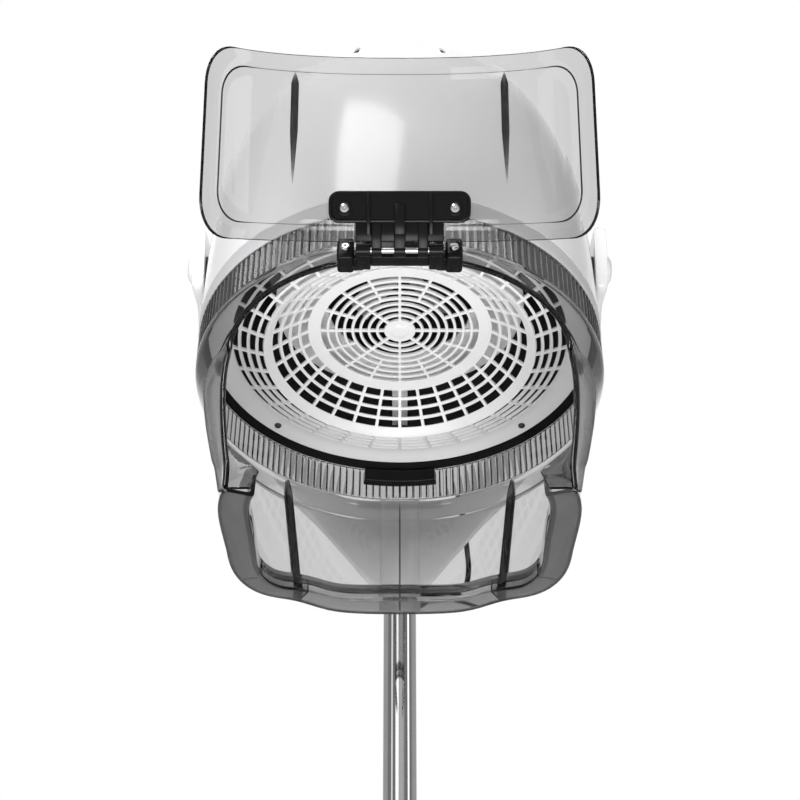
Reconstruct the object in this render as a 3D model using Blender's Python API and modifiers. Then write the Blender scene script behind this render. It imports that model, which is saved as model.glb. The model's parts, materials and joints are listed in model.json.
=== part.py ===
# Standing hood dryer: castor base, telescopic mast, yoke, tilting hood and a raised visor.
# Metres, +Z up, the front of the dryer faces -Y. The hood is modelled in its own frame, whose
# origin is the centre of the ring plane, where the ribbed collar meets the trim ring, with +Z
# towards the crown. That frame leans back by HOOD_TILT.
import math

import bmesh
import bpy
from mathutils import Matrix, Vector

OBJECT_NAME = "standing_hood_dryer"
GAP = 0.0003            # clearance between pieces that touch
RUN = 0.0008            # running clearance of a turning pin
CUT_PAST = 0.010        # how far a cutter runs past the face that it opens

# Stand
MAST_Y = 0.1518         # mast axis behind the origin, which is centred below the whole dryer
LOWER_TUBE_RADIUS = 0.021
UPPER_TUBE_RADIUS = 0.0175
TUBE_WALL = 0.0015
LOWER_TUBE_TOP = 0.680
UPPER_TUBE_BOTTOM = 0.330
UPPER_TUBE_INSERT = 0.122   # depth of the upper tube in the yoke socket
HUB_RADIUS = 0.045
HUB_BOTTOM = 0.070
HUB_HEIGHT = 0.072
HUB_FLOOR = 0.012
HUB_EDGE = 0.006
LEG_COUNT = 5
LEG_REACH = 0.290
LEG_WIDTH_HUB = 0.040
LEG_WIDTH_END = 0.026
LEG_DEPTH_HUB = 0.034
LEG_DEPTH_END = 0.020
LEG_ROOT = 0.004        # depth of a leg's root in the hub
LEG_LIFT = 0.0005       # leg underside above the hub's
LEG_BOSS_RADIUS = 0.017
LEG_BOSS_RISE = 0.008   # boss above its leg's end
COLLAR_HEIGHT = 0.049
COLLAR_RADIUS = 0.031
COLLAR_LIP = 0.010
COLLAR_EDGE = 0.002
FOOT_PLUG = 0.030
FOOT_HEIGHT = 0.014
BUSH_LENGTH = 0.080
BUSH_FLANGE = 0.0037
KNOB_RADIUS = 0.020
KNOB_LENGTH = 0.022
KNOB_SHAFT = 0.004
KNOB_BACK = 0.012       # radius of the knob's face towards the collar
KNOB_EDGE = 0.004
KNOB_STANDOFF = 0.002
KNOB_DROP = 0.018       # knob axis below the top of the lower tube

# Castors
WHEEL_RADIUS = 0.025
WHEEL_WIDTH = 0.018
WHEEL_EDGE = 0.003
AXLE_RADIUS = 0.005
CASTOR_WEB = 0.008
CASTOR_WEB_AHEAD = 0.011
CASTOR_WEB_BEHIND = 0.012   # past the axle, and below it
CASTOR_TRAIL = 0.018
CASTOR_PLATE = 0.008
CASTOR_PLATE_RADIUS = 0.0155
CASTOR_JOIN = 0.002     # depth to which web and stem run into the plate
CASTOR_STEM = 0.0055
CASTOR_TURN = math.radians(100)

# Hood frame
RING_RADIUS = 0.190     # outside of the ribbed collar
SHELL_WALL = 0.003
YOKE_REACH = 0.060      # mast axis behind the ring's rear
RING_HEIGHT = 1.220
HOOD_TILT = math.radians(18)
PIVOT_RISE = 0.111

# Cap
CAP_HEIGHT = 0.325
CAP_POWER = 3.6
TRIM_HEIGHT = 0.019
TRIM_FLANGE_REACH = 0.022   # inner edge of the flange from the ring's outside
TRIM_FLANGE_BOTTOM = 0.0127
TRIM_FLANGE = 0.0035
PANEL_RADIUS = 0.074
PANEL_HOLE = 0.062
PANEL_THICKNESS = 0.006
PANEL_PLUG = 0.010
PANEL_EDGE = 0.003
INTAKE_SLOTS = 12
INTAKE_WIDTH = 0.005
INTAKE_LOW = 0.250
INTAKE_HIGH = 0.298

# Clear bonnet
COLLAR_RIB_LENGTH = 0.036
BAND_SEAT = 0.0045      # straight seat of the bonnet below the ribs
BAND_END = 0.073        # end of the conical band below that seat
BAND_INSET = 0.015      # these four from the ring's outside
LIP_SIDE_INSET = 0.042
LIP_REAR_INSET = 0.022
ARCH_INSET = 0.042
LIP_POWER = 4.0
LIP_MIDDLE = 0.218      # drop of the lip below the ring plane at the hood axis
LIP_SLOPE = 0.215       # the lip rises towards the rear
LIP_FLANGE = 0.022
ARCH_TOP = 0.052
ARCH_CORNER = 0.030
SIDE_SET_BACK = 0.072   # front edges of the side walls behind the ring's front
BONNET_ROWS = (0, 0.02, 0.18, 0.45, 0.7, 1.0)

# Visor and hinge
PIN_AHEAD = 0.013       # of the ring's front
PIN_DROP = 0.062
PIN_RADIUS = 0.0025
KNUCKLE_RADIUS = 0.0055
KNUCKLE_INNER = 0.027
KNUCKLE_OUTER = 0.039
HINGE_HALF_WIDTH = 0.058
HINGE_LEAF = 0.0045
HINGE_SEAT = 0.022      # depth of the base behind the ring's front
HINGE_RISE = 0.006      # lower edge of the base above the pin
HINGE_TOP_GAP = 0.001   # below the ribs
HINGE_FACE_GAP = 0.001  # between knuckles and base
HINGE_ARM_LOW = 0.003
HINGE_ARM_TOP = 0.014
HINGE_ARM_ROOT = 0.006
HINGE_SCREW_RISE = 0.003
HINGE_SCREW_LENGTH = 0.018
LEAF_TOP = 0.022
LEAF_LENGTH = 0.026
LEAF_SCREW_DROP = 0.033
LEAF_SCREW_END = 0.003
LEAF_STANDOFF = 0.0048  # back of the visor's bow at the leaf's ends, behind its middle
LEAF_NECK = 0.006       # neck inside the base's knuckles
LEAF_ARM_ROOT = 0.008
LEAF_ARM_FRONT = 0.004
LEAF_ARM_BACK = 0.0005
VISOR_RAISED = math.radians(139)
VISOR_INSET = 0.034     # side edges inside the ring's outside
VISOR_TAPER = 0.008
VISOR_WIDER = 0.012     # the whole curve reaches this far past the side edges
VISOR_BOW = 0.125       # how far the middle stands ahead of the curve's ends
VISOR_POWER = 2.3
VISOR_STANDOFF = 0.003  # ahead of the pin
VISOR_TOP = 0.0075      # top edge below the pin when closed
VISOR_LENGTH = 0.150
VISOR_CORNER = 0.030
SCREW_RADIUS = 0.0015
SCREW_HOLE = 0.0019
SCREW_HEAD = 0.004
SCREW_HEAD_HEIGHT = 0.0024
SMALL_SCREW_HEAD = 0.0035
HINGE_SCREW_X = 0.044

# Grille and seal
GRILLE_WALL = 0.003
GRILLE_SECTORS = 16
GRILLE_SPOKE = 0.0042
GRILLE_INSET = 0.009    # edge of the grille inside the ring's outside
# Radius as a share of the edge's, height, and whether the ring that ends there has slots
GRILLE_RINGS = (
    (0.077, 0.030, False), (0.166, 0.030, True), (0.188, 0.030, False), (0.276, 0.030, True),
    (0.298, 0.030, False), (0.398, 0.030, True), (0.492, 0.0285, False), (0.575, 0.018, True),
    (0.597, 0.0153, False), (0.674, 0.0056, True), (0.724, -0.0010, False), (0.801, 0.0035, True),
    (0.823, 0.0049, False), (0.901, 0.0100, True))
GRILLE_RIM_HEIGHT = 0.0070
SEAL_LOW = -0.004
CATCH_HALF_WIDTH = 0.038
CATCH_DEPTH = 0.010
CATCH_DROP = 0.006
CATCH_HEIGHT = 0.014
GRILLE_SCREW_INSET = 0.009  # inside the grille's edge
GRILLE_SCREW_SEAT = 0.0075
GRILLE_SCREW_ANGLE = math.radians(46)

# Blower and heater
PLATE_RISE = 0.150
PLATE_WALL = 0.004
PLATE_RADIUS = 0.060
PLATE_ARM = 0.016
ARM_ROOT = 0.008        # depth to which an arm runs into its plate
ARM_INSET = 0.0002      # arm faces inside those of the plate
MOTOR_RADIUS = 0.042
MOTOR_HEIGHT = 0.060
MOTOR_BOSS = 0.011
MOTOR_EDGE = 0.006
SHAFT_RADIUS = 0.004
FAN_DROP = 0.016        # top of the fan hub below the motor plate
FAN_HUB = 0.018
FAN_HEIGHT = 0.022
FAN_RADIUS = 0.085
FAN_BLADES = 6
FAN_PITCH = math.radians(35)
BLADE_ROOT = 0.006
BLADE_HALF_CHORD = 0.012
BLADE_HALF_WALL = 0.001
HEATER_RISE = 0.060
HEATER_PLATE = 0.0025
HEATER_INNER = 0.070
HEATER_OUTER = 0.121
ELEMENT_RADIUS = 0.004
ELEMENT_START = 0.078
ELEMENT_PITCH = 0.0095
ELEMENT_TURNS = 2.5
ELEMENT_STEPS = 16      # of one turn
CUTOUT_RADIUS = 0.006
CUTOUT_HEIGHT = 0.012
CUTOUT_GAP = 0.001
CUTOUT_ANGLE = math.radians(60)

# Controls
DIAL_RADIUS = 0.016
DIAL_HEIGHT = 0.017
DIAL_SHAFT = 0.003
DIAL_EDGE = 0.003
DIAL_X = 0.032
ROCKER_Y = -0.036
ROCKER_SIZE = (0.020, 0.012, 0.012)
ROCKER_CLEAR = 0.0013
ROCKER_RISE = 0.002
ROCKER_FLOOR = 0.0025   # space below the rocker in its pocket
LAMP_RADIUS = 0.005
LAMP_Y = 0.036
LAMP_RISE = 0.003
LAMP_EDGE = 0.001
LAMP_SEAT = 0.002       # foot of the lens below the panel's rim

# Yoke
YOKE_WALL = 0.012
SOCKET_RADIUS = 0.022
SOCKET_TOP = -0.070     # below the ring centre
SOCKET_BOTTOM = -0.190
SOCKET_FOOT = 0.012     # lower edge of the ribbon above the socket's end
EAR_GAP = 0.008         # middle of the ear from the ring's outside
# From the socket to the ears: shares of the ears' x, y and z, the z for lower and upper edge
YOKE_STATIONS = (
    (0.187, 0.0, -1.535, -0.682), (0.288, 0.0, -1.288, -0.682), (0.419, 0.009, -0.919, -0.530),
    (0.551, 0.037, -0.625, -0.284), (0.682, 0.121, -0.417, -0.076), (0.798, 0.246, -0.189, 0.152),
    (0.894, 0.408, 0.038, 0.417), (0.960, 0.580, 0.303, 0.701), (1.0, 0.742, 0.530, 1.114))
EAR_BACK = (0.028, -0.032, 0.034)   # behind the pivot, and lower and upper edge from it
EAR_FRONT = (-0.016, -0.030, 0.038)
EAR_TIP = (-0.024, -0.020, 0.034)
PIVOT_BOLT = 0.004
PIVOT_HEAD = 0.007
PIVOT_HEAD_HEIGHT = 0.004
PIVOT_CAP = 0.014
PIVOT_CAP_WALL = 0.002
PIVOT_CAP_EDGE = 0.003
BOLT_GRIP = 0.012       # bolt inside the cap's wall
WASHER_RADIUS = 0.014

# Hood cord
CORD_RADIUS = 0.003
GLAND_X = 0.045
GLAND_RISE = 0.040
GLAND_LENGTH = 0.024
GLAND_BASE = 0.009
GLAND_TIP = 0.005
GLAND_COLLAR = 0.006
GROMMET_DROP = 0.172
GROMMET_LENGTH = 0.014
GROMMET_BASE = 0.008
GROMMET_TIP = 0.0052
GROMMET_COLLAR = 0.004
CORD_LEAD_OUT = 0.018   # straight run at the gland
CORD_LEAD_IN = 0.014    # and at the grommet
INLET_SIZE = (0.028, 0.012, 0.022)
INLET_DROP = 0.006      # below the middle of the hub's free height
INLET_WALL = 0.003
INLET_WELL = 0.007

# Facets of the round hood pieces, and how far a flat lies inside its corners
HOOD_STEPS = 40
FACET = math.cos(math.pi / HOOD_STEPS)

# Values that follow from those above
HUB_TOP = HUB_BOTTOM + HUB_HEIGHT
LOWER_TUBE_BORE = LOWER_TUBE_RADIUS - TUBE_WALL
UPPER_TUBE_BORE = UPPER_TUBE_RADIUS - TUBE_WALL
RING_CENTRE = Vector((0, MAST_Y - RING_RADIUS - YOKE_REACH, RING_HEIGHT))
MAST = Vector((0, MAST_Y, RING_HEIGHT))
HOOD = Matrix.Translation(RING_CENTRE) @ Matrix.Rotation(-HOOD_TILT, 4, "X")
PIVOT = HOOD @ Vector((0, 0, PIVOT_RISE))
RING_BORE = RING_RADIUS - SHELL_WALL
BAND_RADIUS = RING_RADIUS - BAND_INSET
LIP_HALF_WIDTH = RING_RADIUS - LIP_SIDE_INSET
LIP_DEPTH = RING_RADIUS - LIP_REAR_INSET
ARCH_HALF_WIDTH = RING_RADIUS - ARCH_INSET
SIDE_FRONT = RING_RADIUS - SIDE_SET_BACK
PIN_FORWARD = RING_RADIUS + PIN_AHEAD
VISOR_HALF_WIDTH = RING_RADIUS - VISOR_INSET
GRILLE_EDGE = RING_RADIUS - GRILLE_INSET
EAR_X = RING_RADIUS + EAR_GAP
WIDE = 2 * RING_RADIUS  # reach of cutters that cross the whole hood
CAP_TOP = CAP_HEIGHT * (1 - (PANEL_RADIUS / RING_RADIUS) ** CAP_POWER) ** (1 / CAP_POWER)
SOCKET_BORE_TOP = SOCKET_BOTTOM + UPPER_TUBE_INSERT
COLLAR_LIP_TOP = LOWER_TUBE_TOP + BUSH_FLANGE + GAP + COLLAR_LIP
COLLAR_BOTTOM = COLLAR_LIP_TOP - COLLAR_HEIGHT
CASTOR_TOP = HUB_BOTTOM - RUN
BAND_START = COLLAR_RIB_LENGTH + BAND_SEAT
X_AXIS = Matrix.Rotation(math.pi / 2, 4, "Y")
Y_AXIS = Matrix.Rotation(-math.pi / 2, 4, "X")

for old in list(bpy.data.objects):
    bpy.data.objects.remove(old, do_unlink=True)
parts = bpy.data.collections.new(OBJECT_NAME)
helpers = bpy.data.collections.new("cutters")
bpy.context.scene.collection.children.link(parts)
bpy.context.scene.collection.children.link(helpers)


def material(name, colour, roughness, metallic=0.0, alpha=1.0):
    made = bpy.data.materials.new(name)
    made.use_nodes = True
    shader = made.node_tree.nodes["Principled BSDF"]
    shader.inputs["Base Color"].default_value = (*colour, 1)
    shader.inputs["Roughness"].default_value = roughness
    shader.inputs["Metallic"].default_value = metallic
    shader.inputs["Alpha"].default_value = alpha
    return made


WHITE = material("white_plastic", (0.86, 0.86, 0.86), 0.35)
PALE = material("pale_grey_plastic", (0.62, 0.62, 0.63), 0.4)
SMOKE = material("smoke_clear_plastic", (0.30, 0.30, 0.31), 0.12, alpha=0.45)
BLACK = material("black_plastic", (0.02, 0.02, 0.02), 0.35)
RUBBER = material("black_rubber", (0.03, 0.03, 0.03), 0.7)
CHROME = material("chrome", (0.75, 0.75, 0.76), 0.1, 1.0)
STEEL = material("steel", (0.55, 0.55, 0.55), 0.35, 1.0)
ALUMINIUM = material("cast_aluminium", (0.66, 0.66, 0.67), 0.35, 1.0)
LAMP = material("orange_lens", (0.9, 0.32, 0.05), 0.2)


def empty(name, location, rotation=(0, 0, 0), parent=None):
    made = bpy.data.objects.new(name, None)
    parts.objects.link(made)
    made.parent = parent
    made.location = location
    made.rotation_euler = rotation
    return made


hood_pivot = empty("hood_pivot", PIVOT, (-HOOD_TILT, 0, 0))
PIN = Vector((0, -PIN_FORWARD, -PIN_DROP - PIVOT_RISE))
visor_pivot = empty("visor_pivot", PIN, (-VISOR_RAISED, 0, 0), hood_pivot)
RING_OFFSET = Vector((0, 0, -PIVOT_RISE))


# A finished object is a part with its material, or a helper that only cuts or joins.
def place(name, data, finish, parent=None, offset=(0, 0, 0)):
    made = bpy.data.objects.new(name, data)
    if finish is None:
        helpers.objects.link(made)
        made.hide_render = True
        made.display_type = "WIRE"
    else:
        parts.objects.link(made)
        data.materials.append(finish)
    made.parent = parent
    made.location = offset
    return made


def mesh_part(name, shape, finish, parent=None, offset=(0, 0, 0)):
    mesh = bpy.data.meshes.new(name)
    shape.to_mesh(mesh)
    shape.free()
    mesh.shade_smooth()
    mesh.set_sharp_from_angle(angle=math.radians(35))
    return place(name, mesh, finish, parent, offset)


def hood_part(name, shape, finish):
    return mesh_part(name, shape, finish, hood_pivot, RING_OFFSET)


def visor_part(name, shape, finish):
    return mesh_part(name, shape, finish, visor_pivot)


def line_shape(points, matrix=Matrix(), closed=False):
    shape = bmesh.new()
    corners = [shape.verts.new(matrix @ Vector((r, 0, z))) for r, z in points]
    ends = corners[1:] + corners[:1] if closed else corners[1:]
    for first, second in zip(corners, ends):
        shape.edges.new((first, second))
    return shape


# A profile of (radius, height) that runs down its outer side, turned about Z and then set by matrix.
def turned(name, points, finish, steps=32, closed=False, parent=None, offset=(0, 0, 0), matrix=None):
    made = mesh_part(name, line_shape(points, closed=closed), finish, parent, offset)
    screw = made.modifiers.new("Turn", "SCREW")
    screw.steps = steps
    screw.render_steps = steps
    screw.use_merge_vertices = True
    screw.merge_threshold = 0.00001
    if matrix is not None:
        made.matrix_local = Matrix.Translation(offset) @ matrix
    return made


def hood_turned(name, points, finish, steps=HOOD_STEPS, closed=False, matrix=None):
    return turned(name, points, finish, steps, closed, hood_pivot, RING_OFFSET, matrix)


def solidify(made, wall, offset=0.0):
    shell = made.modifiers.new("Wall", "SOLIDIFY")
    shell.thickness = wall
    shell.offset = offset
    shell.use_even_offset = True


def boolean(made, other, operation):
    step = made.modifiers.new(operation.title(), "BOOLEAN")
    step.operation = operation
    step.solver = "EXACT"
    step.object = other


def cut(made, *others):
    for other in others:
        boolean(made, other, "DIFFERENCE")


def join(made, *others):
    for other in others:
        boolean(made, other, "UNION")


def add_box(shape, low, high, matrix=Matrix()):
    low, high = Vector(low), Vector(high)
    size = Matrix.Diagonal((*(high - low), 1))
    bmesh.ops.create_cube(shape, size=1, matrix=matrix @ Matrix.Translation((low + high) / 2) @ size)


# A rod along the Z of matrix, from low to high.
def add_rod(shape, radius, low, high, matrix=Matrix(), segments=20, end_radius=None):
    end_radius = radius if end_radius is None else end_radius
    middle = matrix @ Matrix.Translation((0, 0, (low + high) / 2))
    bmesh.ops.create_cone(
        shape, cap_ends=True, segments=segments, radius1=radius, radius2=end_radius,
        depth=high - low, matrix=middle)


def box_shape(*boxes):
    shape = bmesh.new()
    for low, high in boxes:
        add_box(shape, low, high)
    return shape


def rod_shape(radius, low, high, matrix=Matrix(), segments=20):
    shape = bmesh.new()
    add_rod(shape, radius, low, high, matrix, segments)
    return shape


# A surface through rows of points, each row a section of the loft.
def loft_shape(rows, closed):
    shape = bmesh.new()
    grid = [[shape.verts.new(point) for point in row] for row in rows]
    count = len(rows[0])
    for upper, lower in zip(grid, grid[1:]):
        for column in range(count if closed else count - 1):
            after = (column + 1) % count
            shape.faces.new((upper[column], lower[column], lower[after], upper[after]))
    bmesh.ops.recalc_face_normals(shape, faces=shape.faces)
    return shape


def superellipse(half_width, depth, power, angle):
    across = math.copysign(abs(math.sin(angle)) ** (2 / power), math.sin(angle))
    along = math.copysign(abs(math.cos(angle)) ** (2 / power), math.cos(angle))
    return half_width * across, depth * along


def polar(radius, angle, height=0.0):
    return Vector((radius * math.cos(angle), radius * math.sin(angle), height))


# Points of a smooth curve through the route's own points.
def smooth_route(route, per_span):
    ends = [2 * route[0] - route[1], *route, 2 * route[-1] - route[-2]]
    points = []
    for before, first, second, after in zip(ends, ends[1:], ends[2:], ends[3:]):
        for step in range(per_span):
            t = step / per_span
            bend = (2 * before - 5 * first + 4 * second - after) * t * t
            twist = (3 * first - before - 3 * second + after) * t * t * t
            points.append((2 * first + (second - before) * t + bend + twist) / 2)
    return [*points, route[-1]]


def tube_part(name, points, radius, resolution, finish, parent=None, offset=(0, 0, 0)):
    curve = bpy.data.curves.new(name, "CURVE")
    curve.dimensions = "3D"
    curve.bevel_depth = radius
    curve.bevel_resolution = resolution
    curve.use_fill_caps = True
    spline = curve.splines.new("POLY")
    spline.points.add(len(points) - 1)
    for spot, point in zip(spline.points, points):
        spot.co = (*point, 1)
    return place(name, curve, finish, parent, offset)


# Star base with blind hub bore, five legs and the castor sockets
def leg_angle(index):
    return -math.pi / 2 + index * 2 * math.pi / LEG_COUNT


def make_base():
    bore = LOWER_TUBE_RADIUS + GAP
    floor = HUB_BOTTOM + HUB_FLOOR
    profile = [
        (0, floor), (bore, floor), (bore, HUB_TOP), (HUB_RADIUS - HUB_EDGE, HUB_TOP),
        (HUB_RADIUS, HUB_TOP - HUB_EDGE), (HUB_RADIUS, HUB_BOTTOM), (0, HUB_BOTTOM)]
    base = turned("star_base", profile, ALUMINIUM, 24, offset=(0, MAST_Y, 0))
    beams, bosses, holes = bmesh.new(), bmesh.new(), bmesh.new()
    leg_top = HUB_BOTTOM + LEG_DEPTH_HUB
    start = HUB_RADIUS - LEG_ROOT
    leg_end = HUB_BOTTOM + LEG_DEPTH_END
    for index in range(LEG_COUNT):
        turn = Matrix.Rotation(leg_angle(index), 4, "Z")
        made = bmesh.ops.create_cube(beams, size=1)
        for corner in made["verts"]:
            outer = corner.co.x > 0
            width = LEG_WIDTH_END if outer else LEG_WIDTH_HUB
            top = leg_end if outer else leg_top
            x = LEG_REACH if outer else start
            z = top if corner.co.z > 0 else HUB_BOTTOM + LEG_LIFT
            corner.co = turn @ Vector((x, math.copysign(width / 2, corner.co.y), z))
        socket = Matrix.Translation(polar(LEG_REACH, leg_angle(index)))
        add_rod(bosses, LEG_BOSS_RADIUS, HUB_BOTTOM, leg_end + LEG_BOSS_RISE, socket, 14)
        add_rod(holes, CASTOR_STEM + RUN, HUB_BOTTOM - CUT_PAST, leg_end, socket, 10)
    at = (0, MAST_Y, 0)
    join(base, mesh_part("leg_beams", beams, None, offset=at))
    join(base, mesh_part("leg_bosses", bosses, None, offset=at))
    cut(base, mesh_part("stem_holes", holes, None, offset=at))


# The castors trail alike on both sides, and the front one straight back
def castor_turn(index):
    if index == 0:
        return math.pi
    return CASTOR_TURN if 2 * index < LEG_COUNT else -CASTOR_TURN


def make_castors():
    plate_low = CASTOR_TOP - CASTOR_PLATE
    wheel_gap = CASTOR_WEB / 2 + 2 * GAP
    outer = wheel_gap + WHEEL_WIDTH
    half = [
        (0, outer), (WHEEL_RADIUS - WHEEL_EDGE, outer), (WHEEL_RADIUS, outer - WHEEL_EDGE),
        (WHEEL_RADIUS, wheel_gap), (AXLE_RADIUS, wheel_gap)]
    spool = half + [(r, -z) for r, z in reversed(half)]
    for index in range(LEG_COUNT):
        angle = leg_angle(index)
        stem_foot = polar(LEG_REACH, angle) + Vector((0, MAST_Y, 0))
        swivel = empty(f"castor_pivot_{index + 1}", stem_foot, (0, 0, angle + castor_turn(index)))
        web_low = (-CASTOR_WEB_AHEAD, -CASTOR_WEB / 2, WHEEL_RADIUS - CASTOR_WEB_BEHIND)
        web_high = (CASTOR_TRAIL + CASTOR_WEB_BEHIND, CASTOR_WEB / 2, plate_low + CASTOR_JOIN)
        body = mesh_part(f"castor_body_{index + 1}", box_shape((web_low, web_high)), BLACK, swivel)
        top = bmesh.new()
        add_rod(top, CASTOR_PLATE_RADIUS, plate_low, CASTOR_TOP, segments=14)
        stem_top = HUB_BOTTOM + LEG_DEPTH_END - GAP
        stem = rod_shape(CASTOR_STEM, CASTOR_TOP - CASTOR_JOIN, stem_top, segments=10)
        axle = Matrix.Translation((CASTOR_TRAIL, 0, WHEEL_RADIUS)) @ Y_AXIS
        bore = rod_shape(AXLE_RADIUS + RUN, -CASTOR_WEB, CASTOR_WEB, axle, 12)
        join(
            body, mesh_part(f"castor_top_{index + 1}", top, None, swivel),
            mesh_part(f"castor_stem_{index + 1}", stem, None, swivel))
        cut(body, mesh_part(f"castor_bore_{index + 1}", bore, None, swivel))
        turned(
            f"castor_wheels_{index + 1}", spool, RUBBER, 16, parent=swivel,
            offset=(CASTOR_TRAIL, 0, WHEEL_RADIUS), matrix=Y_AXIS)


# Telescopic mast with its bushes and hand clamp
def make_mast():
    at = (0, MAST_Y, 0)
    low = HUB_BOTTOM + HUB_FLOOR + GAP
    wall = [
        (LOWER_TUBE_RADIUS, LOWER_TUBE_TOP), (LOWER_TUBE_RADIUS, low), (LOWER_TUBE_BORE, low),
        (LOWER_TUBE_BORE, LOWER_TUBE_TOP)]
    tube = turned("lower_tube", wall, CHROME, 24, True, offset=at)
    bush_inner = UPPER_TUBE_RADIUS + GAP
    bush_outer = LOWER_TUBE_BORE - GAP
    flange_low = LOWER_TUBE_TOP + GAP
    flange_top = LOWER_TUBE_TOP + BUSH_FLANGE
    bush_profile = [
        (LOWER_TUBE_RADIUS, flange_top), (LOWER_TUBE_RADIUS, flange_low), (bush_outer, flange_low),
        (bush_outer, LOWER_TUBE_TOP - BUSH_LENGTH), (bush_inner, LOWER_TUBE_TOP - BUSH_LENGTH),
        (bush_inner, flange_top)]
    bush = turned("guide_bush", bush_profile, BLACK, 24, True, offset=at)
    seat = LOWER_TUBE_RADIUS + GAP
    lip = flange_top + GAP
    collar_profile = [
        (COLLAR_RADIUS - COLLAR_EDGE, COLLAR_LIP_TOP), (COLLAR_RADIUS, COLLAR_LIP_TOP - COLLAR_EDGE),
        (COLLAR_RADIUS, COLLAR_BOTTOM), (seat, COLLAR_BOTTOM), (seat, lip), (bush_inner, lip),
        (bush_inner, COLLAR_LIP_TOP)]
    collar = turned("clamp_collar", collar_profile, BLACK, 24, True, offset=at)
    top = RING_HEIGHT + SOCKET_BORE_TOP - GAP
    upper = [
        (UPPER_TUBE_RADIUS, top), (UPPER_TUBE_RADIUS, UPPER_TUBE_BOTTOM),
        (UPPER_TUBE_BORE, UPPER_TUBE_BOTTOM), (UPPER_TUBE_BORE, top)]
    turned("upper_tube", upper, CHROME, 24, True, offset=at)
    foot_radius = LOWER_TUBE_BORE - GAP
    foot_top, foot_low = UPPER_TUBE_BOTTOM + FOOT_PLUG, UPPER_TUBE_BOTTOM - FOOT_HEIGHT
    foot = [
        (0, foot_top), (UPPER_TUBE_BORE - GAP, foot_top), (UPPER_TUBE_BORE - GAP, UPPER_TUBE_BOTTOM - GAP),
        (foot_radius, UPPER_TUBE_BOTTOM - GAP), (foot_radius, foot_low), (0, foot_low)]
    turned("mast_foot", foot, BLACK, 24, offset=at)
    # The clamp screw runs through collar, tube and bush to the sliding tube
    axis = Matrix.Translation((0, MAST_Y, LOWER_TUBE_TOP - KNOB_DROP))
    hole_end = COLLAR_RADIUS + CUT_PAST
    hole = mesh_part("clamp_hole", rod_shape(KNOB_SHAFT + GAP, 0, hole_end, axis @ X_AXIS), None)
    cut(collar, hole)
    cut(tube, hole)
    cut(bush, hole)
    tip = UPPER_TUBE_RADIUS + GAP
    head = COLLAR_RADIUS + KNOB_STANDOFF
    knob_end = head + KNOB_LENGTH
    knob_profile = [
        (0, knob_end), (KNOB_RADIUS - KNOB_EDGE, knob_end), (KNOB_RADIUS, knob_end - KNOB_EDGE),
        (KNOB_RADIUS, head + KNOB_EDGE), (KNOB_BACK, head), (KNOB_SHAFT, head), (KNOB_SHAFT, tip), (0, tip)]
    turned("height_knob", knob_profile, BLACK, 16, offset=axis.translation, matrix=X_AXIS)


# Yoke: a ribbon that rises from the mast socket round the hood to the two ears
def make_yoke():
    ear_y = PIVOT.y - MAST_Y
    ear_z = PIVOT.z - RING_HEIGHT
    stations = [(0.0, 0.0, SOCKET_BOTTOM + SOCKET_FOOT, SOCKET_TOP)]
    stations += [(x * EAR_X, y * ear_y, low * ear_z, high * ear_z) for x, y, low, high in YOKE_STATIONS]
    for y, low, high in (EAR_BACK, EAR_FRONT, EAR_TIP):
        stations.append((EAR_X, ear_y + y, ear_z + low, ear_z + high))
    lower = [Vector((x, y, low)) for x, y, low, high in stations]
    upper = [Vector((x, y, high)) for x, y, low, high in stations]
    yoke = mesh_part("yoke", loft_shape([upper, lower], False), WHITE, offset=MAST)
    mirror = yoke.modifiers.new("Halves", "MIRROR")
    mirror.merge_threshold = 0.00001
    solidify(yoke, YOKE_WALL)
    socket = mesh_part("yoke_socket", rod_shape(SOCKET_RADIUS, SOCKET_BOTTOM, SOCKET_TOP, segments=24), None)
    socket.location = MAST
    bore_radius = UPPER_TUBE_RADIUS + GAP
    bore_low = SOCKET_BOTTOM - CUT_PAST
    bore = mesh_part("yoke_bore", rod_shape(bore_radius, bore_low, SOCKET_BORE_TOP, segments=24), None)
    bore.location = MAST
    bolts = mesh_part("yoke_bolt_holes", rod_shape(PIVOT_BOLT + RUN, -WIDE, WIDE, X_AXIS), None)
    bolts.location = PIVOT
    join(yoke, socket)
    cut(yoke, bore, bolts)


def make_pivots():
    inner = EAR_X - YOKE_WALL / 2
    outer = EAR_X + YOKE_WALL / 2
    cap_wall = RING_RADIUS * (1 - (PIVOT_RISE / CAP_HEIGHT) ** CAP_POWER) ** (1 / CAP_POWER)
    bolt_end = cap_wall - SHELL_WALL - BOLT_GRIP
    head = outer + GAP
    bolt = [
        (0, head + PIVOT_HEAD_HEIGHT), (PIVOT_HEAD, head + PIVOT_HEAD_HEIGHT), (PIVOT_HEAD, head),
        (PIVOT_BOLT, head), (PIVOT_BOLT, bolt_end), (0, bolt_end)]
    roof = head + PIVOT_HEAD_HEIGHT + GAP
    cap = [
        (0, roof + PIVOT_CAP_WALL), (PIVOT_CAP - PIVOT_CAP_EDGE, roof + PIVOT_CAP_WALL),
        (PIVOT_CAP, roof), (PIVOT_CAP, head), (PIVOT_HEAD + GAP, head), (PIVOT_HEAD + GAP, roof), (0, roof)]
    bore = PIVOT_BOLT + RUN
    washer = [
        (WASHER_RADIUS, inner - GAP), (WASHER_RADIUS, cap_wall + GAP), (bore, cap_wall + GAP),
        (bore, inner - GAP)]
    for side, turn in (("left", X_AXIS.inverted()), ("right", X_AXIS)):
        turned(f"pivot_bolt_{side}", bolt, STEEL, 14, parent=hood_pivot, matrix=turn)
        turned(f"pivot_cap_{side}", cap, WHITE, 20, offset=PIVOT, matrix=turn)
        turned(f"friction_washer_{side}", washer, BLACK, 16, True, parent=hood_pivot, matrix=turn)


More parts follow.
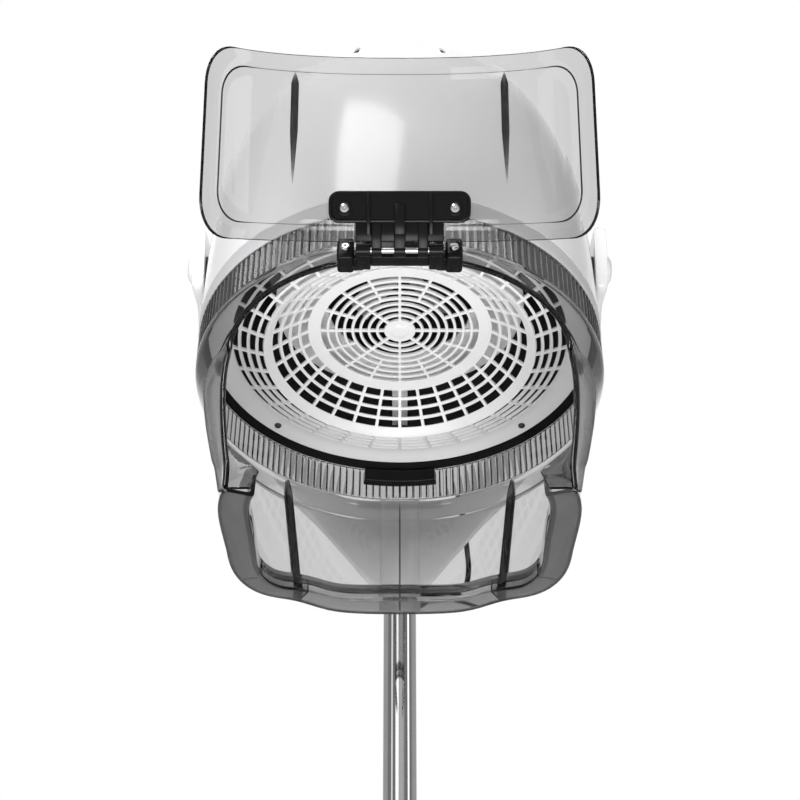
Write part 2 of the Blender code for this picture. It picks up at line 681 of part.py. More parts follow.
# Cap, trim ring, ribbed collar and the clear bonnet
def cap_profile():
    last = math.asin((PANEL_RADIUS / RING_RADIUS) ** (CAP_POWER / 2))
    low = TRIM_HEIGHT + GAP
    first = math.acos((low / CAP_HEIGHT) ** (CAP_POWER / 2))
    rings = 7
    points = [(PANEL_HOLE, CAP_TOP)]
    for index in range(rings + 1):
        angle = last + (first - last) * index / rings
        radius = RING_RADIUS * math.sin(angle) ** (2 / CAP_POWER)
        points.append((radius, CAP_HEIGHT * math.cos(angle) ** (2 / CAP_POWER)))
    return points


def make_cap():
    cap = hood_turned("cap_shell", cap_profile(), WHITE)
    solidify(cap, SHELL_WALL, -1)
    slots, bolts = bmesh.new(), bmesh.new()
    for index in range(INTAKE_SLOTS):
        turn = Matrix.Rotation((index + 0.5) * 2 * math.pi / INTAKE_SLOTS, 4, "Z")
        low = (PANEL_RADIUS, -INTAKE_WIDTH / 2, INTAKE_LOW)
        add_box(slots, low, (RING_RADIUS, INTAKE_WIDTH / 2, INTAKE_HIGH), turn)
    add_rod(bolts, PIVOT_BOLT + RUN, -WIDE, WIDE, Matrix.Translation((0, 0, PIVOT_RISE)) @ X_AXIS)
    cut(cap, hood_part("intake_cutter", slots, None), hood_part("cap_bolt_holes", bolts, None))


def make_rings():
    flange_top = TRIM_FLANGE_BOTTOM + TRIM_FLANGE
    flange_inner = RING_RADIUS - TRIM_FLANGE_REACH
    trim = [
        (RING_RADIUS, TRIM_HEIGHT), (RING_RADIUS, GAP), (RING_BORE, GAP), (RING_BORE, TRIM_FLANGE_BOTTOM),
        (flange_inner, TRIM_FLANGE_BOTTOM), (flange_inner, flange_top), (RING_BORE, flange_top),
        (RING_BORE, TRIM_HEIGHT)]
    ring = hood_turned("trim_ring", trim, PALE, closed=True)
    cut(ring, grille_screw_holes("trim_screw_holes"))
    collar = [
        (RING_RADIUS, 0), (RING_RADIUS, -COLLAR_RIB_LENGTH), (RING_BORE, -COLLAR_RIB_LENGTH), (RING_BORE, 0)]
    hood_turned("ribbed_collar", collar, SMOKE, closed=True)
    seal_top = TRIM_FLANGE_BOTTOM - GAP
    seal = [
        (RING_BORE - GAP, seal_top), (RING_BORE - GAP, SEAL_LOW), (GRILLE_EDGE + GAP, SEAL_LOW),
        (GRILLE_EDGE + GAP, seal_top)]
    hood_turned("rim_seal", seal, RUBBER, closed=True)
    inner = RING_BORE - GAP - CATCH_DEPTH
    low = (-CATCH_HALF_WIDTH, inner, -CATCH_DROP - CATCH_HEIGHT)
    catch = hood_part("rear_catch", box_shape((low, (CATCH_HALF_WIDTH, RING_RADIUS, -CATCH_DROP))), BLACK)
    limit = hood_part("catch_limit", rod_shape(RING_BORE - GAP, -WIDE, WIDE, segments=HOOD_STEPS), None)
    boolean(catch, limit, "INTERSECT")


# Radius, rear depth and power of the bonnet's section at a drop below the ring plane
def bonnet_section(drop):
    middle = RING_RADIUS - SHELL_WALL / 2
    if drop <= BAND_END:
        share = max(0, drop - BAND_START) / (BAND_END - BAND_START)
        radius = middle + (BAND_RADIUS - middle) * share
        return radius, radius, 2.0
    share = (drop - BAND_END) / (LIP_MIDDLE - BAND_END)
    half_width = BAND_RADIUS + (LIP_HALF_WIDTH - BAND_RADIUS) * share
    depth = BAND_RADIUS + (LIP_DEPTH - BAND_RADIUS) * share
    return half_width, depth, 2 + (LIP_POWER - 2) * min(share, 1)


def make_bonnet():
    columns = HOOD_STEPS
    rows = []
    for index, fraction in enumerate((*BONNET_ROWS, 1.0)):
        inset = LIP_FLANGE if index == len(BONNET_ROWS) else 0
        row = []
        for column in range(columns):
            angle = 2 * math.pi * (column + 0.5) / columns
            start = COLLAR_RIB_LENGTH + GAP
            behind = superellipse(LIP_HALF_WIDTH, LIP_DEPTH, LIP_POWER, angle)[1]
            end = LIP_MIDDLE - LIP_SLOPE * max(behind, -SIDE_FRONT)
            drop = start + (end - start) * fraction
            half_width, depth, power = bonnet_section(min(drop, LIP_MIDDLE))
            x, y = superellipse(half_width - inset, depth - inset, power, angle)
            row.append(Vector((x, y, -drop)))
        rows.append(row)
    bonnet = hood_part("bonnet", loft_shape(rows, True), SMOKE)
    solidify(bonnet, SHELL_WALL)
    arch = box_shape(((-ARCH_HALF_WIDTH, -WIDE, -WIDE), (ARCH_HALF_WIDTH, -SIDE_FRONT / 2, -ARCH_TOP)))
    ridges = [edge for edge in arch.edges if abs(edge.verts[0].co.y - edge.verts[1].co.y) > ARCH_CORNER]
    upper = [edge for edge in ridges if edge.verts[0].co.z > -WIDE / 2]
    bmesh.ops.bevel(
        arch, geom=upper, offset=ARCH_CORNER, affect="EDGES", segments=6, profile=0.5, material=-1)
    front = box_shape(((-WIDE, -WIDE, -WIDE), (WIDE, -SIDE_FRONT, -ARCH_TOP - ARCH_CORNER)))
    cut(bonnet, hood_part("arch_cutter", arch, None), hood_part("front_cutter", front, None))
    cut(bonnet, hinge_screw_holes("bonnet_screw_holes"))


# Air grille: a turned plate whose slots are the faces left out between rings and spokes
def make_grille():
    rings = [(GRILLE_EDGE * share, height, slotted) for share, height, slotted in GRILLE_RINGS]
    rings.append((GRILLE_EDGE * FACET - 2 * GAP, GRILLE_RIM_HEIGHT, False))
    inner_slots = 3
    shape = bmesh.new()
    columns = 2 * GRILLE_SECTORS
    hub = shape.verts.new((0, 0, rings[0][1]))
    grid = []
    for radius, height, slotted in rings:
        row = []
        for column in range(columns):
            spoke = column // 2
            side = 1 if column % 2 else -1
            angle = 2 * math.pi * spoke / GRILLE_SECTORS + side * GRILLE_SPOKE / 2 / radius
            row.append(shape.verts.new(polar(radius, angle, height)))
        grid.append(row)
    for column in range(columns):
        shape.faces.new((hub, grid[0][column], grid[0][(column + 1) % columns]))
    for index in range(1, len(rings)):
        for column in range(columns):
            after = (column + 1) % columns
            on_spoke = column % 2 == 0
            half_spoke = index <= inner_slots and (column // 2) % 2 == 1
            if rings[index][2] and (not on_spoke or half_spoke):
                continue
            inner, outer = grid[index - 1], grid[index]
            shape.faces.new((inner[column], outer[column], outer[after], inner[after]))
    bmesh.ops.recalc_face_normals(shape, faces=shape.faces)
    if sum(face.normal.z for face in shape.faces) < 0:
        bmesh.ops.reverse_faces(shape, faces=shape.faces)
    grille = hood_part("air_grille", shape, WHITE)
    solidify(grille, GRILLE_WALL, 1)
    cut(grille, grille_screw_holes("grille_screw_holes"))


def grille_screw_spots():
    rear = math.pi / 2
    for side, angle in (("left", rear + GRILLE_SCREW_ANGLE), ("right", rear - GRILLE_SCREW_ANGLE)):
        yield side, polar(GRILLE_EDGE - GRILLE_SCREW_INSET, angle)


def grille_screw_holes(name):
    holes = bmesh.new()
    for side, spot in grille_screw_spots():
        add_rod(holes, SCREW_HOLE, -CUT_PAST, TRIM_HEIGHT + CUT_PAST, Matrix.Translation(spot), 12)
    return hood_part(name, holes, None)


def make_grille_screws():
    top = TRIM_FLANGE_BOTTOM + TRIM_FLANGE
    seat = GRILLE_SCREW_SEAT
    screw = [
        (0, top), (SCREW_RADIUS, top), (SCREW_RADIUS, seat), (SMALL_SCREW_HEAD, seat),
        (SMALL_SCREW_HEAD, seat - SCREW_HEAD_HEIGHT), (0, seat - SCREW_HEAD_HEIGHT)]
    for side, spot in grille_screw_spots():
        hood_turned(f"grille_screw_{side}", screw, STEEL, 12, matrix=Matrix.Translation(spot))


# Blower: motor on its three-armed plate, fan on the motor shaft
def arms_shape(reach, width, low, high, start):
    shape = bmesh.new()
    for index in range(3):
        turn = Matrix.Rotation(math.pi / 2 + index * 2 * math.pi / 3, 4, "Z")
        add_box(shape, (start, -width / 2, low), (reach, width / 2, high), turn)
    return shape


# Inner radius of the cap at a height, less a clearance, for an arm of the given width
def cap_reach(height, width):
    outer = RING_RADIUS * (1 - (height / CAP_HEIGHT) ** CAP_POWER) ** (1 / CAP_POWER)
    inner = (outer - SHELL_WALL) * FACET - 3 * GAP
    return math.sqrt(inner ** 2 - (width / 2) ** 2)


def make_blower():
    high = PLATE_RISE + PLATE_WALL
    hole = MOTOR_BOSS + GAP
    disc = [(PLATE_RADIUS, high), (PLATE_RADIUS, PLATE_RISE), (hole, PLATE_RISE), (hole, high)]
    plate = hood_turned("motor_plate", disc, STEEL, 32, True)
    reach = cap_reach(high, PLATE_ARM)
    arms = arms_shape(reach, PLATE_ARM, PLATE_RISE + ARM_INSET, high - ARM_INSET, PLATE_RADIUS - ARM_ROOT)
    join(plate, hood_part("plate_arms", arms, None))
    body = high + GAP
    top = body + MOTOR_HEIGHT
    shaft_end = PLATE_RISE - FAN_DROP - FAN_HEIGHT
    motor = [
        (0, top), (MOTOR_RADIUS - MOTOR_EDGE, top), (MOTOR_RADIUS, top - MOTOR_EDGE), (MOTOR_RADIUS, body),
        (MOTOR_BOSS, body), (MOTOR_BOSS, PLATE_RISE), (SHAFT_RADIUS, PLATE_RISE), (SHAFT_RADIUS, shaft_end),
        (0, shaft_end)]
    hood_turned("motor", motor, STEEL, 28)
    hub_top = PLATE_RISE - FAN_DROP
    hub_low = hub_top - FAN_HEIGHT
    bore = SHAFT_RADIUS + GAP
    hub = [(FAN_HUB, hub_top), (FAN_HUB, hub_low), (bore, hub_low), (bore, hub_top)]
    fan = hood_turned("fan", hub, PALE, 24, True)
    blades = bmesh.new()
    middle = (hub_top + hub_low) / 2
    for index in range(FAN_BLADES):
        turn = Matrix.Rotation(index * 2 * math.pi / FAN_BLADES, 4, "Z") @ Matrix.Translation((0, 0, middle))
        pitched = turn @ Matrix.Rotation(FAN_PITCH, 4, "X")
        low = (FAN_HUB - BLADE_ROOT, -BLADE_HALF_CHORD, -BLADE_HALF_WALL)
        add_box(blades, low, (FAN_RADIUS, BLADE_HALF_CHORD, BLADE_HALF_WALL), pitched)
    join(fan, hood_part("fan_blades", blades, None))


def make_heater():
    top = HEATER_RISE + HEATER_PLATE
    low = HEATER_RISE
    ring = [(HEATER_OUTER, top), (HEATER_OUTER, low), (HEATER_INNER, low), (HEATER_INNER, top)]
    frame = hood_turned("heater_frame", ring, STEEL, 36, True)
    reach = cap_reach(top, PLATE_ARM)
    arms = arms_shape(reach, PLATE_ARM, low + ARM_INSET, top - ARM_INSET, HEATER_OUTER - ARM_ROOT)
    join(frame, hood_part("heater_arms", arms, None))
    points = []
    for step in range(int(ELEMENT_TURNS * ELEMENT_STEPS) + 1):
        turns = step / ELEMENT_STEPS
        radius = ELEMENT_START + ELEMENT_PITCH * turns
        points.append(polar(radius, 2 * math.pi * turns, top + ELEMENT_RADIUS + GAP))
    gap = min(
        (first - second).length for index, first in enumerate(points)
        for second in points[index + ELEMENT_STEPS // 2:]) - 2 * ELEMENT_RADIUS
    print(f"least gap between the heater element's turns: {gap * 1000:.2f} mm")
    tube_part("heater_element", points, ELEMENT_RADIUS, 1, STEEL, hood_pivot, RING_OFFSET)
    outer = ELEMENT_START + ELEMENT_PITCH * ELEMENT_TURNS + ELEMENT_RADIUS
    spot = Matrix.Translation(polar(outer + CUTOUT_RADIUS + CUTOUT_GAP, CUTOUT_ANGLE))
    foot = top + GAP
    cutout = [
        (0, foot + CUTOUT_HEIGHT), (CUTOUT_RADIUS, foot + CUTOUT_HEIGHT), (CUTOUT_RADIUS, foot), (0, foot)]
    hood_turned("thermal_cutout", cutout, BLACK, 16, matrix=spot)


# Control panel on the crown with its dials, rocker and lamp
def make_controls():
    low = CAP_TOP + GAP
    top = low + PANEL_THICKNESS
    plug = PANEL_HOLE - GAP
    panel_profile = [
        (0, top), (PANEL_RADIUS - PANEL_EDGE, top), (PANEL_RADIUS, top - PANEL_EDGE),
        (PANEL_RADIUS, low), (plug, low), (plug, low - PANEL_PLUG), (0, low - PANEL_PLUG)]
    panel = hood_turned("control_panel", panel_profile, PALE, 32)
    holes = bmesh.new()
    for x in (-DIAL_X, DIAL_X):
        spot = Matrix.Translation((x, 0, 0))
        add_rod(holes, DIAL_SHAFT + GAP, low - PANEL_PLUG - CUT_PAST, top + CUT_PAST, spot, 10)
    lamp_spot = Matrix.Translation((0, LAMP_Y, 0))
    add_rod(holes, LAMP_RADIUS + GAP, low - LAMP_SEAT, top + CUT_PAST, lamp_spot, 16)
    width, depth, height = ROCKER_SIZE
    pocket_low = (-width / 2 - ROCKER_CLEAR / 2, ROCKER_Y - depth / 2 - ROCKER_CLEAR, top - height)
    pocket_high = (width / 2 + ROCKER_CLEAR / 2, ROCKER_Y + depth / 2 + ROCKER_CLEAR, top + CUT_PAST)
    add_box(holes, pocket_low, pocket_high)
    cut(panel, hood_part("panel_holes", holes, None))
    face = top + GAP
    dial_top = face + DIAL_HEIGHT
    dial = [
        (0, dial_top), (DIAL_RADIUS - DIAL_EDGE, dial_top), (DIAL_RADIUS, dial_top - DIAL_EDGE),
        (DIAL_RADIUS, face), (DIAL_SHAFT, face), (DIAL_SHAFT, low - PANEL_PLUG), (0, low - PANEL_PLUG)]
    for name, x in (("timer_knob", -DIAL_X), ("heat_knob", DIAL_X)):
        hood_turned(name, dial, BLACK, 16, matrix=Matrix.Translation((x, 0, 0)))
    lens_foot = low - LAMP_SEAT + GAP
    lens = [
        (0, top + LAMP_RISE), (LAMP_RADIUS - LAMP_EDGE, top + LAMP_RISE - LAMP_EDGE), (LAMP_RADIUS, top),
        (LAMP_RADIUS, lens_foot), (0, lens_foot)]
    hood_turned("pilot_lamp", lens, LAMP, 16, matrix=lamp_spot)
    rise = top - height / 2 + ROCKER_RISE
    rocker_low = (-width / 2, -depth / 2, ROCKER_FLOOR - height / 2)
    rocker = box_shape((rocker_low, (width / 2, depth / 2, height / 2)))
    mesh_part("power_rocker", rocker, BLACK, hood_pivot, RING_OFFSET + Vector((0, ROCKER_Y, rise)))


# Visor hinge: a base on the bonnet's front, a leaf on the visor and the pin through both
def hinge_screw_holes(name):
    holes = bmesh.new()
    drop = Matrix.Translation((0, 0, -hinge_screw_drop()))
    for x in (-HINGE_SCREW_X, HINGE_SCREW_X):
        add_rod(holes, SCREW_HOLE, SIDE_FRONT, WIDE, drop @ Matrix.Translation((x, 0, 0)) @ front_axis(), 12)
    return hood_part(name, holes, None)


# Turns Z to the front
def front_axis():
    return Matrix.Rotation(math.pi / 2, 4, "X")


def hinge_screw_drop():
    return (COLLAR_RIB_LENGTH + PIN_DROP) / 2 - HINGE_SCREW_RISE


def make_hinge():
    face = PIN_FORWARD - KNUCKLE_RADIUS - HINGE_FACE_GAP
    plate_low = (-HINGE_HALF_WIDTH, -face, -PIN_DROP + HINGE_RISE)
    plate_high = (HINGE_HALF_WIDTH, -RING_RADIUS + HINGE_SEAT, -COLLAR_RIB_LENGTH - HINGE_TOP_GAP)
    base = hood_part("hinge_base", box_shape((plate_low, plate_high)), BLACK)
    band = (bonnet_section(BAND_END)[0] + SHELL_WALL / 2) / FACET + 5 * GAP
    neck = RING_RADIUS / FACET + 2 * GAP
    body = [(0, CUT_PAST), (neck, CUT_PAST), (neck, -BAND_START), (band, -BAND_END), (0, -BAND_END)]
    cut(base, hood_turned("hinge_seat", body, None))
    arms = bmesh.new()
    barrels = bmesh.new()
    bore = bmesh.new()
    pin_line = Matrix.Translation((0, -PIN_FORWARD, -PIN_DROP)) @ X_AXIS
    for side in (-1, 1):
        left, right = sorted((side * KNUCKLE_INNER, side * KNUCKLE_OUTER))
        arm_low = (left, -PIN_FORWARD, -PIN_DROP - HINGE_ARM_LOW)
        add_box(arms, arm_low, (right, HINGE_ARM_ROOT - face, HINGE_ARM_TOP - PIN_DROP))
        add_rod(barrels, KNUCKLE_RADIUS, left, right, pin_line, 20)
    add_rod(bore, PIN_RADIUS + GAP, -WIDE, WIDE, pin_line, 16)
    join(base, hood_part("hinge_arms", arms, None), hood_part("hinge_barrels", barrels, None))
    cut(base, hood_part("hinge_bore", bore, None), hinge_screw_holes("hinge_screw_holes"))
    length = KNUCKLE_OUTER
    pin = [(0, length), (PIN_RADIUS, length), (PIN_RADIUS, -length), (0, -length)]
    turned("hinge_pin", pin, STEEL, 16, parent=visor_pivot, matrix=X_AXIS)
    screw_end = face - HINGE_SCREW_LENGTH
    head = face + GAP
    screw = [
        (0, head + SCREW_HEAD_HEIGHT), (SCREW_HEAD, head + SCREW_HEAD_HEIGHT), (SCREW_HEAD, head),
        (SCREW_RADIUS, head), (SCREW_RADIUS, screw_end), (0, screw_end)]
    for side, x in (("left", -HINGE_SCREW_X), ("right", HINGE_SCREW_X)):
        spot = Matrix.Translation((x, 0, -hinge_screw_drop())) @ front_axis()
        hood_turned(f"hinge_base_screw_{side}", screw, STEEL, 12, matrix=spot)


# The visor in its closed position, in the frame of the pin
def visor_row(drop):
    columns = 16
    share = (drop - VISOR_TOP) / VISOR_LENGTH
    narrowed = 1 - VISOR_TAPER / VISOR_HALF_WIDTH * share
    reach = VISOR_HALF_WIDTH + VISOR_WIDER
    last = math.asin((VISOR_HALF_WIDTH / reach) ** (VISOR_POWER / 2))
    row = []
    for column in range(columns + 1):
        angle = last * (2 * column / columns - 1)
        x, forward = superellipse(reach, VISOR_BOW, VISOR_POWER, angle)
        row.append(Vector((x * narrowed, VISOR_BOW - SHELL_WALL / 2 - VISOR_STANDOFF - forward, -drop)))
    return row


def make_visor():
    drops = [VISOR_TOP + VISOR_LENGTH * index / 3 for index in range(4)]
    shape = loft_shape([visor_row(drop) for drop in drops], False)
    corners = [vert for vert in shape.verts if len(vert.link_faces) == 1]
    bmesh.ops.bevel(
        shape, geom=corners, offset=VISOR_CORNER, affect="VERTICES", segments=3, profile=0.5, material=-1)
    visor = visor_part("visor", shape, SMOKE)
    solidify(visor, SHELL_WALL)
    holes = bmesh.new()
    for x in (-HINGE_SCREW_X, HINGE_SCREW_X):
        spot = Matrix.Translation((x, 0, -LEAF_SCREW_DROP))
        add_rod(holes, SCREW_HOLE, -WIDE, WIDE, spot @ front_axis(), 12)
    cut(visor, visor_part("visor_screw_holes", holes, None))


def make_leaf():
    near = LEAF_STANDOFF
    far = near + HINGE_LEAF
    neck = KNUCKLE_INNER - LEAF_NECK
    plate_low = (-HINGE_HALF_WIDTH, near, -LEAF_TOP - LEAF_LENGTH)
    plate = box_shape((plate_low, (HINGE_HALF_WIDTH, far, -LEAF_TOP)))
    leaf = visor_part("hinge_leaf", plate, BLACK)
    arm_low = (-neck, near - LEAF_ARM_FRONT, -LEAF_TOP - LEAF_ARM_ROOT)
    arm = box_shape((arm_low, (neck, far - LEAF_ARM_BACK, 0)))
    barrel = rod_shape(KNUCKLE_RADIUS, -KNUCKLE_INNER + RUN, KNUCKLE_INNER - RUN, X_AXIS, 20)
    bore = rod_shape(PIN_RADIUS + GAP, -WIDE, WIDE, X_AXIS, 16)
    holes = bmesh.new()
    for x in (-HINGE_SCREW_X, HINGE_SCREW_X):
        spot = Matrix.Translation((x, 0, -LEAF_SCREW_DROP))
        add_rod(holes, SCREW_HOLE, -WIDE, WIDE, spot @ front_axis(), 12)
    join(leaf, visor_part("leaf_arm", arm, None), visor_part("leaf_barrel", barrel, None))
    cut(leaf, visor_part("leaf_bore", bore, None), visor_part("leaf_screw_holes", holes, None))
    head = far + GAP
    screw = [
        (0, head + SCREW_HEAD_HEIGHT), (SCREW_HEAD, head + SCREW_HEAD_HEIGHT), (SCREW_HEAD, head),
        (SCREW_RADIUS, head), (SCREW_RADIUS, -LEAF_SCREW_END), (0, -LEAF_SCREW_END)]
    for side, x in (("left", -HINGE_SCREW_X), ("right", HINGE_SCREW_X)):
        spot = Matrix.Translation((x, 0, -LEAF_SCREW_DROP)) @ Y_AXIS
        turned(f"hinge_leaf_screw_{side}", screw, STEEL, 12, parent=visor_pivot, matrix=spot)


# Hood cord from the cap's rear gland to the grommet on the yoke socket, and the mains inlet
def make_cord():
    bearing = math.asin(GLAND_X / RING_RADIUS)
    outward = Vector((math.sin(bearing), math.cos(bearing), 0))
    root = RING_RADIUS + GAP
    gland = [
        (0, GLAND_LENGTH), (GLAND_TIP, GLAND_LENGTH), (GLAND_BASE, GLAND_COLLAR), (GLAND_BASE, 0), (0, 0)]
    aim = outward.to_track_quat("Z", "Y").to_matrix().to_4x4()
    seat = Matrix.Translation(outward * root + Vector((0, 0, GLAND_RISE)))
    hood_turned("cord_gland", gland, RUBBER, 14, matrix=seat @ aim)
    start = HOOD @ (outward * (root + GLAND_LENGTH + GAP) + Vector((0, 0, GLAND_RISE)))
    heading = HOOD.to_3x3() @ outward
    radial = Vector((math.sqrt(0.5), math.sqrt(0.5), 0))
    grommet = [
        (0, GROMMET_LENGTH), (GROMMET_TIP, GROMMET_LENGTH), (GROMMET_BASE, GROMMET_COLLAR),
        (GROMMET_BASE, 0), (0, 0)]
    socket = MAST - Vector((0, 0, GROMMET_DROP))
    turned(
        "cord_grommet", grommet, RUBBER, 14, offset=socket + radial * (SOCKET_RADIUS + GAP),
        matrix=radial.to_track_quat("Z", "Y").to_matrix().to_4x4())
    finish = socket + radial * (SOCKET_RADIUS + GROMMET_LENGTH + 2 * GAP)
    # Chosen by hand, from the ring centre
    hanging = [
        (0.0605, 0.249, -0.045), (0.066, 0.264, -0.066), (0.071, 0.272, -0.092), (0.0745, 0.2765, -0.120),
        (0.0755, 0.281, -0.140), (0.071, 0.2885, -0.158), (0.0585, 0.2945, -0.170)]
    route = [start, start + heading * CORD_LEAD_OUT, *(RING_CENTRE + Vector(spot) for spot in hanging)]
    route += [finish + radial * CORD_LEAD_IN, finish]
    tube_part("hood_cord", smooth_route(route, 3), CORD_RADIUS, 2, RUBBER)


def make_inlet():
    width, depth, height = INLET_SIZE
    middle = (HUB_BOTTOM + LEG_DEPTH_HUB + HUB_TOP) / 2 - INLET_DROP
    near = HUB_RADIUS + GAP
    low = (-width / 2, near, middle - height / 2)
    inlet = mesh_part(
        "mains_inlet", box_shape((low, (width / 2, near + depth, middle + height / 2))), BLACK,
        offset=(0, MAST_Y, 0))
    well = box_shape((
        (INLET_WALL - width / 2, near + depth - INLET_WELL, middle - height / 2 + INLET_WALL),
        (width / 2 - INLET_WALL, near + depth + CUT_PAST, middle + height / 2 - INLET_WALL)))
    cut(inlet, mesh_part("inlet_well", well, None, offset=(0, MAST_Y, 0)))


make_base()
make_castors()
make_mast()
make_yoke()
make_pivots()
make_cap()
make_rings()
make_bonnet()
make_grille()
make_grille_screws()
make_blower()
make_heater()
make_controls()
make_hinge()
make_visor()
make_leaf()
make_cord()
make_inlet()
bpy.context.view_layer.update()
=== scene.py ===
import bisect
import json
import math

import bmesh
import bpy
from mathutils import Matrix, Vector


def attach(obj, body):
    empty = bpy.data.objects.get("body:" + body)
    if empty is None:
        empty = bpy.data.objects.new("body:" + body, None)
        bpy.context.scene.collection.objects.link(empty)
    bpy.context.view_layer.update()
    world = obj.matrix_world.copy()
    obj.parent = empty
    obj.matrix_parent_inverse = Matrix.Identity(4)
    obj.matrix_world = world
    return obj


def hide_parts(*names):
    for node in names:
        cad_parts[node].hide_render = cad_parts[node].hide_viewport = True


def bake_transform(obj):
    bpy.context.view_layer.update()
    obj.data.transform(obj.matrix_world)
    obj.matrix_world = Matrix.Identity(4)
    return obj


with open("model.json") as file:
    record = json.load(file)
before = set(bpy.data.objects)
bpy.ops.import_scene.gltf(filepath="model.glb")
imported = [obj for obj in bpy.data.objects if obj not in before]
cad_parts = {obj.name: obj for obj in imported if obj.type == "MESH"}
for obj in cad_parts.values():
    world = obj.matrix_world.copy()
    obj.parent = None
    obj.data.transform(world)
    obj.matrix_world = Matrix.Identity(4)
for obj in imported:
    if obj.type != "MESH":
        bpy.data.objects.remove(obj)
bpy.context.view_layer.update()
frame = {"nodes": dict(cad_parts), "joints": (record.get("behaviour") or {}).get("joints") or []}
nodes = frame["nodes"]
joints = {joint["name"]: joint for joint in frame["joints"]}
scene = bpy.context.scene

# Places that the frame gives: hood pivot and lean, visor pin, mast axis
hood = dict(pivotRise=0.111, ringRadius=0.190, wall=0.003, steps=160)
pivot = Vector(joints["hood_tilt"]["pos_m"])
crownWay = Vector(joints["fan_spin"]["axis"])
lean = math.atan2(crownWay.y, crownWay.z)
ringCentre = pivot - crownWay * hood["pivotRise"]
hoodPlace = Matrix.Translation(ringCentre) @ Matrix.Rotation(-lean, 4, "X")
visorRaised = math.radians(joints["visor_hinge"]["range_deg"][1])
pinSpot = Vector(joints["visor_hinge"]["pos_m"])
visorPlace = Matrix.Translation(pinSpot) @ Matrix.Rotation(-lean - visorRaised, 4, "X")
mastY = joints["yoke_swivel"]["pos_m"][1]
mastPlace = Matrix.Translation((0, mastY, 0))
alongX = Matrix.Rotation(math.pi / 2, 4, "Y")
alongY = Matrix.Rotation(-math.pi / 2, 4, "X")


# Shader expressions: a socket with the operators that the finishes use
class Value:
    def __init__(self, shade, socket):
        self.shade = shade
        self.socket = socket

    def calc(self, operation, first, second):
        return self.shade.node("ShaderNodeMath", dict(operation=operation), {0: first, 1: second})

    def __add__(self, other):
        return self.calc("ADD", self, other)

    def __radd__(self, other):
        return self.calc("ADD", other, self)

    def __mul__(self, other):
        return self.calc("MULTIPLY", self, other)

    def __rmul__(self, other):
        return self.calc("MULTIPLY", other, self)


class Finish:
    def __init__(self, name):
        self.material = bpy.data.materials.new(name)
        self.material.use_nodes = True
        self.tree = self.material.node_tree
        self.shader = self.tree.nodes["Principled BSDF"]
        self.place = self.node("ShaderNodeTexCoord", out="Object")

    # One node of any kind: its settings first, then the values or links of its sockets
    def node(self, kind, settings=None, sockets=None, out=0):
        made = self.tree.nodes.new(kind)
        for key, setting in (settings or {}).items():
            setattr(made, key, setting)
        for key, value in (sockets or {}).items():
            self.feed(made.inputs[key], value)
        return Value(self, made.outputs[out])

    def feed(self, socket, value):
        if isinstance(value, Value):
            self.tree.links.new(value.socket, socket)
        else:
            socket.default_value = value

    def set(self, **sockets):
        for key, value in sockets.items():
            self.feed(self.shader.inputs[key.replace("_", " ")], value)
        return self

    def noise(self, scale, detail=3.0, stretch=(1, 1, 1)):
        spot = self.place
        if stretch != (1, 1, 1):
            spot = self.node("ShaderNodeMapping", sockets={"Vector": self.place, "Scale": stretch})
        sockets = {"Vector": spot, "Scale": scale, "Detail": detail}
        return self.node("ShaderNodeTexNoise", sockets=sockets)

    def blend(self, factor, first, second):
        sockets = {"Factor": factor, 6: (*first, 1), 7: (*second, 1)}
        return self.node("ShaderNodeMix", dict(data_type="RGBA"), sockets, out=2)

    def bump(self, height, strength, distance):
        sockets = {"Height": height, "Strength": strength, "Distance": distance}
        return self.node("ShaderNodeBump", sockets=sockets)


# Moulded plastic: a little uneven in colour and gloss, with a fine moulded skin
def mouldedPlastic(name, dark, light, roughness, grain=900, skin=0.04, coat=0.0, shine=0.5):
    finish = Finish(name)
    cloud = finish.noise(7.0, 4.0)
    fine = finish.noise(grain, 2.0)
    finish.set(Base_Color=finish.blend(cloud, dark, light))
    finish.set(Roughness=roughness - 0.05 + cloud * 0.07 + fine * 0.05)
    finish.set(Normal=finish.bump(fine, skin, 0.0004))
    finish.set(Coat_Weight=coat, Specular_IOR_Level=shine)
    return finish.material


# Clear smoke plastic: the tint comes from the thickness that the light crosses
def smokePlastic(name, density, roughness=0.02):
    finish = Finish(name)
    haze = finish.noise(24.0, 3.0)
    finish.set(Base_Color=(1, 1, 1, 1), IOR=1.46, Transmission_Weight=1.0)
    finish.set(Roughness=roughness + haze * 0.02)
    settings = {"Color": (0.0, 0.0, 0.0, 1), "Density": density}
    tint = finish.node("ShaderNodeVolumeAbsorption", sockets=settings)
    output = finish.tree.nodes["Material Output"]
    finish.feed(output.inputs["Volume"], tint)
    return finish.material


def polishedMetal(name, dark, light, roughness, stretch=(1, 1, 1)):
    finish = Finish(name)
    streak = finish.noise(60.0, 4.0, stretch)
    finish.set(Base_Color=finish.blend(streak, dark, light), Metallic=1.0)
    finish.set(Roughness=roughness + streak * roughness * 0.6)
    finish.set(Normal=finish.bump(streak, 0.01, 0.0002))
    return finish.material


def softRubber(name, dark, light):
    finish = Finish(name)
    cloud = finish.noise(40.0, 4.0)
    fine = finish.noise(1400.0, 2.0)
    finish.set(Base_Color=finish.blend(cloud, dark, light))
    finish.set(Roughness=0.55 + fine * 0.2, Normal=finish.bump(fine, 0.12, 0.0004), Specular_IOR_Level=0.08)
    return finish.material


